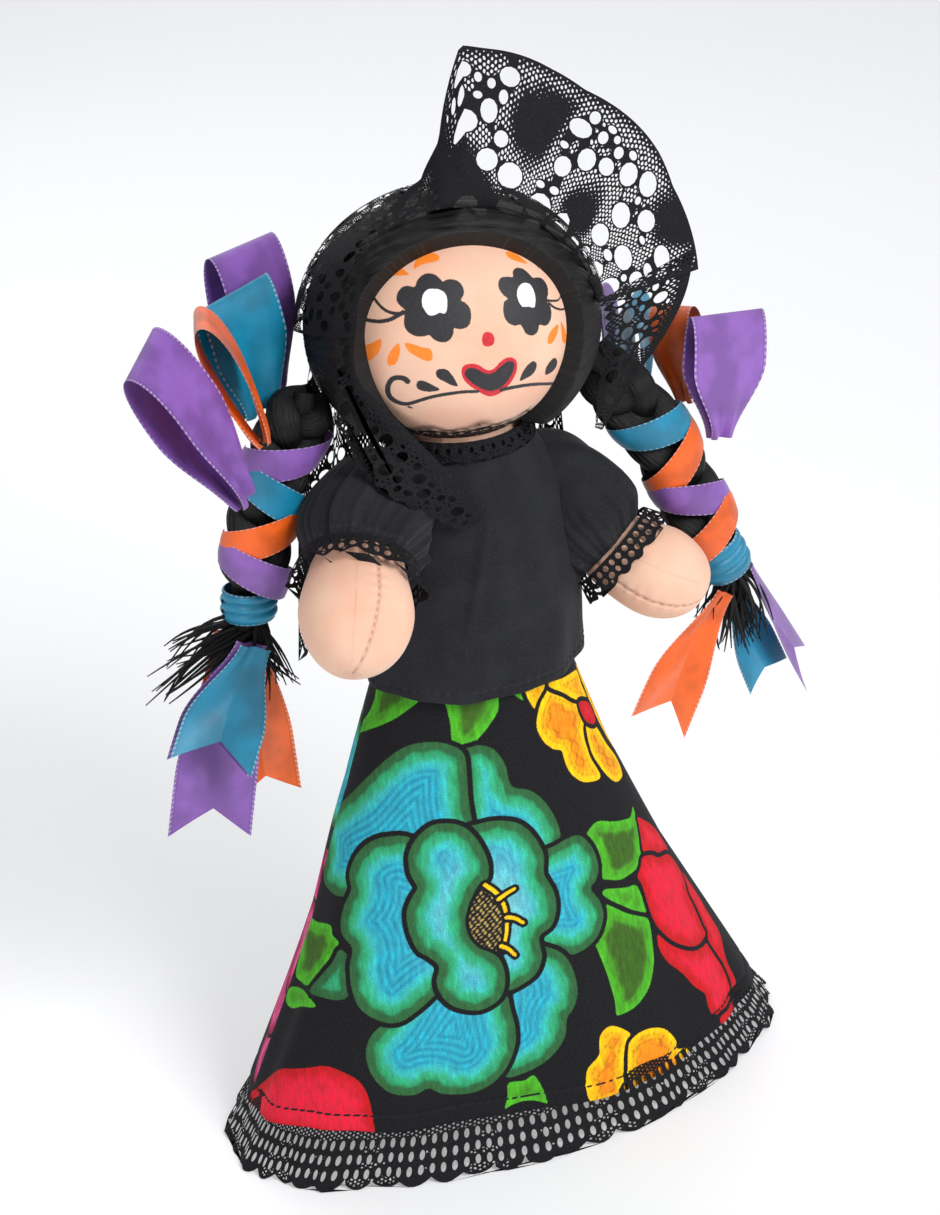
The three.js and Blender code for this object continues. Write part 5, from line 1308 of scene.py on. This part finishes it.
# Ribbons: double-faced satin with picot edges, braided in with the hair. Each shows as a loop above
# the plait, as bands across it, and as a tail cut to a swallow's point below the tie.
SATIN = {"purple": (0.262, 0.108, 0.46), "turquoise": (0.004, 0.232, 0.40), "orange": (0.87, 0.125, 0.006)}
LOOPS = {  # width, belly, pinch, root, tip, across
    "purple_front_right": (20, 13, 0.4, (-67.5, -10.5, 219), (-92, -13, 267), (0.6, 0.65, 0.4)),
    "orange_right": (15, 10, 0.4, (-59, -4.5, 231.5), (-72.5, -2, 269), (0.3, 0.95, 0.1)),
    "turquoise_right": (25, 5.5, 0.5, (-53.5, 11, 234), (-59, 9.8, 269.5), (1, 0.35, 0.05)),
    "purple_back_right": (25, 9, 0.5, (-47.5, 21, 234.5), (-50, 26, 276), (0.9, 0.4, -0.3)),
    "purple_front_left": (25, 6, 0.3, (75.5, -11, 205), (80, -8, 241), (0.95, 0.1, -0.25)),
    "orange_left": (15, 8, 0.4, (71.5, 0, 213), (70, 5, 241), (0.35, -0.9, 0)),
    "turquoise_left": (20, 7, 0.5, (63.5, 14, 216), (62.5, 16, 241), (0.6, 0.7, 0)),
    "purple_back_left": (20, 7, 0.5, (52, 17, 217), (54, 21, 244), (0.6, 0.7, 0)),
}
BANDS = {  # share down the plait, slant across it
    "purple_upper_right": (0.29, 11), "turquoise_right": (0.45, -9), "orange_right": (0.60, 10),
    "purple_lower_right": (0.75, -8),
    "turquoise_left": (0.34, -9), "orange_upper_left": (0.48, 9), "purple_left": (0.62, -11),
    "orange_lower_left": (0.75, 8),
}
TAILS = {  # width, pinch, notch, curl, from, to, across
    "turquoise_right": (25, 0.4, 0.22, 2, (-66, -3, 171), (-83, -5, 138.5), (1, 0, 0.15)),
    "purple_short_right": (25, 0.4, 0.22, 2, (-66, 0, 171), (-83, -1.5, 136.5), (1, 0, 0.15)),
    "purple_long_right": (25, 0.4, 0.14, 2, (-66, 11, 170), (-81.5, 9, 108), (1, 0, 0.1)),
    "orange_short_right": (20, 0.4, 0.12, 2, (-62, 14.5, 169), (-61, 14, 113), (1, 0, 0.1)),
    "orange_long_right": (20, 0.4, 0.12, 2, (-67, 18.5, 168), (-77, 17, 108), (1, 0, 0.1)),
    "orange_left": (20, 0.35, 0.2, 2, (76, -13, 156), (51, -16, 119), (0.9, 0, -0.4)),
    "turquoise_left": (18, 0.5, 0.1, 1, (84, -3, 152), (96, -3, 118), (0.9, 0.4, 0.2)),
    "purple_left": (20, 0.6, 0.2, 1, (88, -4, 161), (111, 0, 115), (0.5, 0.85, 0)),
}


def strip_axes(reach, across):
    """Unit ways across the strip and out of it, square to its reach."""
    along = unit(reach)
    wide = unit(np.array(across, float) - along * (along @ np.array(across, float)))
    return wide, np.cross(wide, along)


def loop_point(s, t, width, belly, pinch, root, tip, across):
    """Out and back along the reach by (1 - cos 2 pi s) / 2, the two runs held apart by a sine, the
    ribbon gathered in pleats at the root."""
    root, reach = np.array(root, float), np.subtract(tip, root).astype(float)
    wide, rise = strip_axes(reach, across)
    out = (1 - np.cos(2 * math.pi * s)) / 2
    gape = belly / 2 * np.sin(2 * math.pi * s) * (0.4 + 0.6 * out) + np.cos(math.pi * s)
    pleat = 1.1 * np.sin(3 * math.pi * t) * (1 - out)**1.5 + 0.9 * (2 * t - 1)**2 * out * (1 - out) * 2
    spread = width * (pinch + (1 - pinch) * rolled(out, 0, 0.6))
    return (root + reach * out[..., None] + rise * (gape + pleat)[..., None]
            + wide * (spread * (t - 0.5))[..., None])


def band_point(s, t, plait, at, slant):
    """Round the plait from -25 to 205 degrees, wide in the middle and tucked in at the ends."""
    around = np.radians(-25 + 230 * s)
    width = 10.5 * (0.42 + 0.58 * np.sin(math.pi * s)**0.8)
    here, along, side, front = plait_frame(plait, np.array([at]))
    tuck = 1 - 0.14 * np.abs(2 * s - 1)**3 + 0.035 * np.sin(math.pi * t) - 0.03 * np.sin(math.pi * s) * (2 * t - 1)
    drop = slant / 2 * np.cos(around) + width * (t - 0.5)
    return (here + side * (11.4 * np.cos(around) * tuck)[..., None]
            + front * (9.2 * np.sin(around) * tuck)[..., None] + along * drop[..., None])


def tail_point(s, t, width, pinch, notch, curl, start, end, across):
    """Down the reach, cut back in the middle by the notch, with a long curl and a pinch at the tie."""
    start, reach = np.array(start, float), np.subtract(end, start).astype(float)
    wide, rise = strip_axes(reach, across)
    side = 2 * s - 1
    down = t * (1 - notch * (1 - np.abs(side)))
    spread = width * (pinch + (1 - pinch) * rolled(t, 0, 0.7))
    lift = curl * np.sin(math.pi * t) + 0.8 * np.sin(3 * t + 2 * side) + 0.9 * np.cos(math.pi * 1.5 * side) * (1 - t)**2
    return (start + reach * down[..., None] + wide * (spread / 2 * side)[..., None] + rise * lift[..., None])


def satin_strip(name, place, long_s, rows, columns, length, width, colour, node_name):
    """A strip from its place(s, t); s runs along it where long_s is true, and across it otherwise."""
    s, t = np.meshgrid(np.linspace(0, 1, rows), np.linspace(0, 1, columns), indexing="ij")
    points = place(s, t)
    made = mesh_object(name, points.reshape(-1, 3), grid_faces(rows, columns), out_of=points.mean((0, 1)) + (0, 30, -10))
    run, over = (s, t) if long_s else (t, s)
    store(made, "cloth_at", np.stack([run * length, over * width, 0 * run], -1).reshape(-1, 3))
    store(made, "selvedge", (width * np.minimum(over, 1 - over)).ravel())
    made.data.materials.append(satins[colour])
    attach(made, "root")
    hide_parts(node_name)


def satin(name, colour):
    """Satin ribbon: a long soft shine, fine cross ribs, and a row of pale picots on each edge."""
    made, tree, shader = material(f"{name}_satin", colour, 0.36, Specular_IOR_Level=0.6, Sheen_Weight=0.25, Sheen_Roughness=0.3)
    at = kept(tree, "cloth_at", out=1)
    edge = kept(tree, "selvedge")
    ribs = sums(tree, "SINE", sums(tree, "MULTIPLY", node(tree, "SeparateXYZ", at), 2 * math.pi / 0.34))
    stitch = sums(tree, "GREATER_THAN", sums(tree, "SINE", sums(tree, "MULTIPLY", node(tree, "SeparateXYZ", at), 2 * math.pi / 1.5)), 0.1)
    picot = sums(tree, "MULTIPLY", stitch, ramped(tree, edge, 0.85, 0.5))
    # Painted shade: darker patches at random over the ribbon, down to 0.7 of its colour.
    painted_shade = noise(tree, place_of(tree), 0.10, 2.0)
    dark, pale = tuple(0.70 * c for c in colour), tuple(0.55 * c + 0.33 for c in colour)
    tint = mixed(tree, ramped(tree, painted_shade, 0.35, 0.65), (*dark, 1), (*colour, 1))
    # Painted shade of a groove: a darker line about 1 mm in from each edge.
    groove = sums(tree, "MULTIPLY", ramped(tree, edge, 1.3, 1.0), ramped(tree, edge, 0.7, 1.0))
    tint = mixed(tree, sums(tree, "MULTIPLY", groove, 0.5), tint, (*tuple(0.4 * c for c in colour), 1))
    tint = mixed(tree, sums(tree, "MULTIPLY", picot, 0.75), tint, (*pale, 1))
    tree.links.new(tint, shader.inputs["Base Color"])
    bumped(tree, shader, sums(tree, "MULTIPLY_ADD", picot, 2.0, ribs), 0.06, 0.45)
    return made


satins = {name: satin(name, colour) for name, colour in SATIN.items()}
for name, loop in LOOPS.items():
    reach = np.linalg.norm(np.subtract(loop[4], loop[3]))
    satin_strip(f"loop_of_{name}", lambda s, t: loop_point(s, t, *loop), True, 130, 26, 2 * reach + loop[1] * 1.3,
                loop[0], name.split("_")[0], f"ribbon_loop_{name}")
for name, (at, slant) in BANDS.items():
    plait = PLAITS[name.rsplit("_", 1)[1]]
    satin_strip(f"band_of_{name}", lambda s, t: band_point(s, t, plait, at, slant), True, 90, 16, 41.0, 20.0,
                name.split("_")[0], f"ribbon_band_{name}")
for name, tail in TAILS.items():
    reach = np.linalg.norm(np.subtract(tail[5], tail[4]))
    satin_strip(f"tail_of_{name}", lambda s, t: tail_point(s, t, *tail), False, 31, 80, reach + 1, tail[0],
                name.split("_")[0], f"ribbon_tail_{name}")


# Ties: the turquoise ribbon wound three times round the end of each plait and tucked in.
TIE_HEIGHTS = {"right": 9.0, "left": 12.0}
for which, height in TIE_HEIGHTS.items():
    def tie_point(s, t, height=height, plait=PLAITS[which]):
        """Ellipse 7 by 6 round the plait, bulged by |sin| once for each turn of the ribbon."""
        here, axis, side, front = plait_frame(plait, np.array([0.9]))
        around = 2 * math.pi * s
        roll = np.abs(np.sin(math.pi * (3 * t + s * 0.5)))**0.7
        out = 0.1 + 1.1 * roll * np.sin(math.pi * np.clip(t * 1.02 - 0.01, 0, 1))**0.3
        return (here + side * ((7 + out) * np.cos(around))[..., None] + front * ((6 + out) * np.sin(around))[..., None]
                + axis * ((t - 0.5) * height)[..., None])

    satin_strip(f"tie_of_plait_{which}", tie_point, True, 97, 40, 41.0, 20.0, "turquoise", f"ribbon_tie_{which}")


# Veil: one piece of black net lace pinned along the hairline. Its front edge stands up as a fan
# over the head, its sides come forward as two narrow tails, and the rest hangs down the back.
FRONT_EDGE = np.array([  # degrees from the top, distance out, distance forward, in the head's frame
    [-85, 31, 26], [-60, 31, 26], [-35, 36, 19], [-10, 41, 16], [-2, 50, 16], [5, 74, 17], [26, 72, 12],
    [57, 72, 4], [85, 70, 0]])
VEIL_WIDE, VEIL_LONG, VEIL_OFF_HAIR, VEIL_FOOT = 200.0, 170.0, 2.8, 150.0
VEIL_TAILS = {
    "right": {
        "upper": (0.07, 0.0, [(-36.5, -18.5, 251), (-28, -17, 239), (-17, -22, 224), (-9, -24.5, 213), (-5.5, -26, 205)]),
        "lower": (0.0, 0.16, [(-40.5, -12, 246), (-40, -15, 230), (-33.4, -25, 219), (-21, -26, 209), (-12, -26, 203)]),
        "long": 66.0, "wide": 13.0, "area": 0.00078,
    },
    "left": {
        "upper": (0.97, 0.0, [(64.5, -13, 252), (56, -17, 243), (44, -20, 232.5), (34, -20, 220)]),
        "lower": (1.0, 0.25, [(39, -14, 250), (36.5, -17, 242), (34, -19, 234), (31.5, -20.5, 221.5)]),
        "long": 62.0, "wide": 15.0, "area": 0.00063,
    },
}


def veil_point(s, t):
    """For each s a centripetal curve over t: the free front edge, four places just off the hair and
    the back of the neck, and the foot. Sines ripple the fan and the fall, and a pleat marks the peak."""
    degrees = FRONT_EDGE[0, 0] + (FRONT_EDGE[-1, 0] - FRONT_EDGE[0, 0]) * s
    angle = np.radians(degrees)
    out, forward = (np.interp(degrees, FRONT_EDGE[:, 0], FRONT_EDGE[:, k]) for k in (1, 2))
    out = out + rolled(degrees, 6, 14) * 1.2 * (np.abs(np.sin(np.radians(degrees - 5) * 6)) - 0.6)
    local = [np.stack([out * np.sin(angle), -forward, out * np.cos(angle)], -1)]
    radii = HAIR_RADII + VEIL_OFF_HAIR
    for part, turn in ((1, 58), (1, 95), (0.97, 128)):
        p = math.radians(turn)
        local.append(np.stack([np.sin(angle * part) * math.sin(p), -math.cos(p) + 0 * angle,
                               np.cos(angle * part) * math.sin(p)], -1) * radii)
    ends = [point @ HEAD_TURN.T + HEAD_CENTRE for point in local]
    for wide, back, z in ((40, 10, 222 + 0 * angle), (46, 13, VEIL_FOOT + 0 * angle)):
        ends.append(np.stack([wide * np.sin(0.9 * angle), back + 33 * np.cos(0.9 * angle), z], -1)
                    )
    points = flowing(np.stack(ends), t)
    forward_way = HEAD_TURN @ (0.0, -1.0, 0.0)
    fan_part, fall_part = 1 - rolled(t, 0.05, 0.22), rolled(t, 0.5, 0.95)
    ripple = 1.3 * np.sin(8 * angle + 0.4) * fan_part + 2.2 * np.exp(-((degrees + 4) / 3.5)**2) * (1 - rolled(t, 0.1, 0.3))
    fall = 1.9 * np.sin(12 * angle + 1.5 * t) * fall_part
    away = unit(points * (1, 1, 0) + (0, 1e-3, 0))
    return points + forward_way * ripple[..., None] + away * fall[..., None]


def veil_surface(u, v):
    return veil_point(u / VEIL_WIDE, v / VEIL_LONG)


def tail_surface(tail):
    """Between an upper and a lower edge curve, each starting on the veil's own edge, in soft pleats."""
    curves = []
    for s, t, more in (tail["upper"], tail["lower"]):
        curves.append([veil_point(np.array([s]), np.array([t]))[0], *map(np.array, more)])

    def surface(u, v):
        s, t = u / tail["long"], v / tail["wide"]
        upper, lower = (flowing(curve, s) for curve in curves)
        pleat = 0.8 * np.sin(3 * math.pi * t + 2 * s) * np.sin(math.pi * np.clip(s, 0, 1))
        return upper + (lower - upper) * t[..., None] + BACK * pleat[..., None]

    return surface


def scattered_holes(seed, tries, surface, wide, long, size_at, gap):
    """Seeded ovals that keep a gap apart: each try takes a random place, and its size from size_at;
    its half widths are divided by how far the surface stretches there."""
    rng = np.random.default_rng(seed)
    draws = rng.random((tries, 5))
    u, v = 2 + draws[:, 0] * (wide - 4), 2 + draws[:, 1] * (long - 4)
    size = size_at(u, v, draws[:, 2])
    order = np.argsort(-size, kind="stable")
    step = 0.5
    here = surface(u, v)
    stretch_u = np.linalg.norm(surface(u + step, v) - here, axis=-1) / step
    stretch_v = np.linalg.norm(surface(u, v + step) - here, axis=-1) / step
    chosen = []
    for k in order:
        if size[k] < 0.5:
            break
        half = size[k] * np.array([1 / max(stretch_u[k], 0.35), 1 / max(stretch_v[k], 0.35)])
        half = half * (0.82 + 0.36 * draws[k, 3], 1.25 - 0.36 * draws[k, 3])
        if u[k] < half[0] + 1.6 or u[k] > wide - half[0] - 1.6 or v[k] < half[1] + 2.6 or v[k] > long - half[1] - 1.6:
            continue
        if chosen:
            old = np.array(chosen)
            reach = (old[:, 2:4] + half) * 1.02 + gap
            if (np.hypot((old[:, 0] - u[k]) / reach[:, 0], (old[:, 1] - v[k]) / reach[:, 1]) < 1).any():
                continue
        chosen.append((u[k], v[k], half[0], half[1], 0.0))
    return chosen


def flower_field(u, v):
    """Product of two bent sines: above zero the net opens in flowers, below it closes in leaves."""
    return np.sin(u / 8.0 + 1.2 * np.sin(v / 10)) * np.sin(v / 7.0 + 0.9 * np.sin(u / 12) + 0.8)


def pleat_share(u):
    degrees = FRONT_EDGE[0, 0] + (FRONT_EDGE[-1, 0] - FRONT_EDGE[0, 0]) * u / VEIL_WIDE
    return np.exp(-((degrees + 3) / 6)**4), degrees


def veil_hole_size(u, v, draw):
    pleat, degrees = pleat_share(u)
    fan_share = rolled(degrees, -6, 6) * (1 - rolled(v, 38, 60))
    big = 1.0 + 2.4 * draw**1.5 * (0.35 + 0.65 * fan_share)
    return np.where(flower_field(u, v) > -0.25, big, 0.0) * (1 - 0.75 * pleat)


def veil_close(u, v):
    pleat, degrees = pleat_share(u)
    leaves = rolled(-flower_field(u, v), 0.30, 0.6)
    border = 1 - rolled(np.minimum(v, np.minimum(u, VEIL_WIDE - u) * 1.0), 1.2, 2.6)
    over_hair = 0.30 * (1 - rolled(degrees, -25, -5))
    return np.clip(0.10 + leaves + border + pleat * (1 - rolled(v, 45, 60)) + over_hair, 0, 1)


veil_lace = black_lace("veil_lace", 1.25)
veil_holes = scattered_holes(11, 4200, veil_surface, VEIL_WIDE, VEIL_LONG, veil_hole_size, 0.42)
veil = lace_sheet("lace_veil", veil_surface, VEIL_WIDE, (flat_edge, lambda u: VEIL_LONG - 2 + 2 * np.abs(np.cos(u * 0.42))),
                  veil_holes, 2.4, veil_close, out_of=HEAD_CENTRE)
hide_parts("veil")
veil_pieces = [veil]
for which, tail in VEIL_TAILS.items():
    surface = tail_surface(tail)
    holes = scattered_holes(5, 500, surface, tail["long"], tail["wide"], lambda u, v, draw: 0.6 + 1.3 * draw**2, 0.5)
    piece = lace_sheet(
        f"veil_tail_{which}", surface, tail["long"], (flat_edge, lambda u: tail["wide"] - 1 + np.abs(np.cos(u * 0.6))),
        holes, 1.5, lambda u, v: np.clip(0.35 + 1.2 * (1 - rolled(v, 1.6, 3.0)), 0, 1), out_of=(0, 60, 230))
    veil_pieces.append(piece)
for piece in veil_pieces:
    piece.data.materials.append(veil_lace)
    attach(piece, "root")
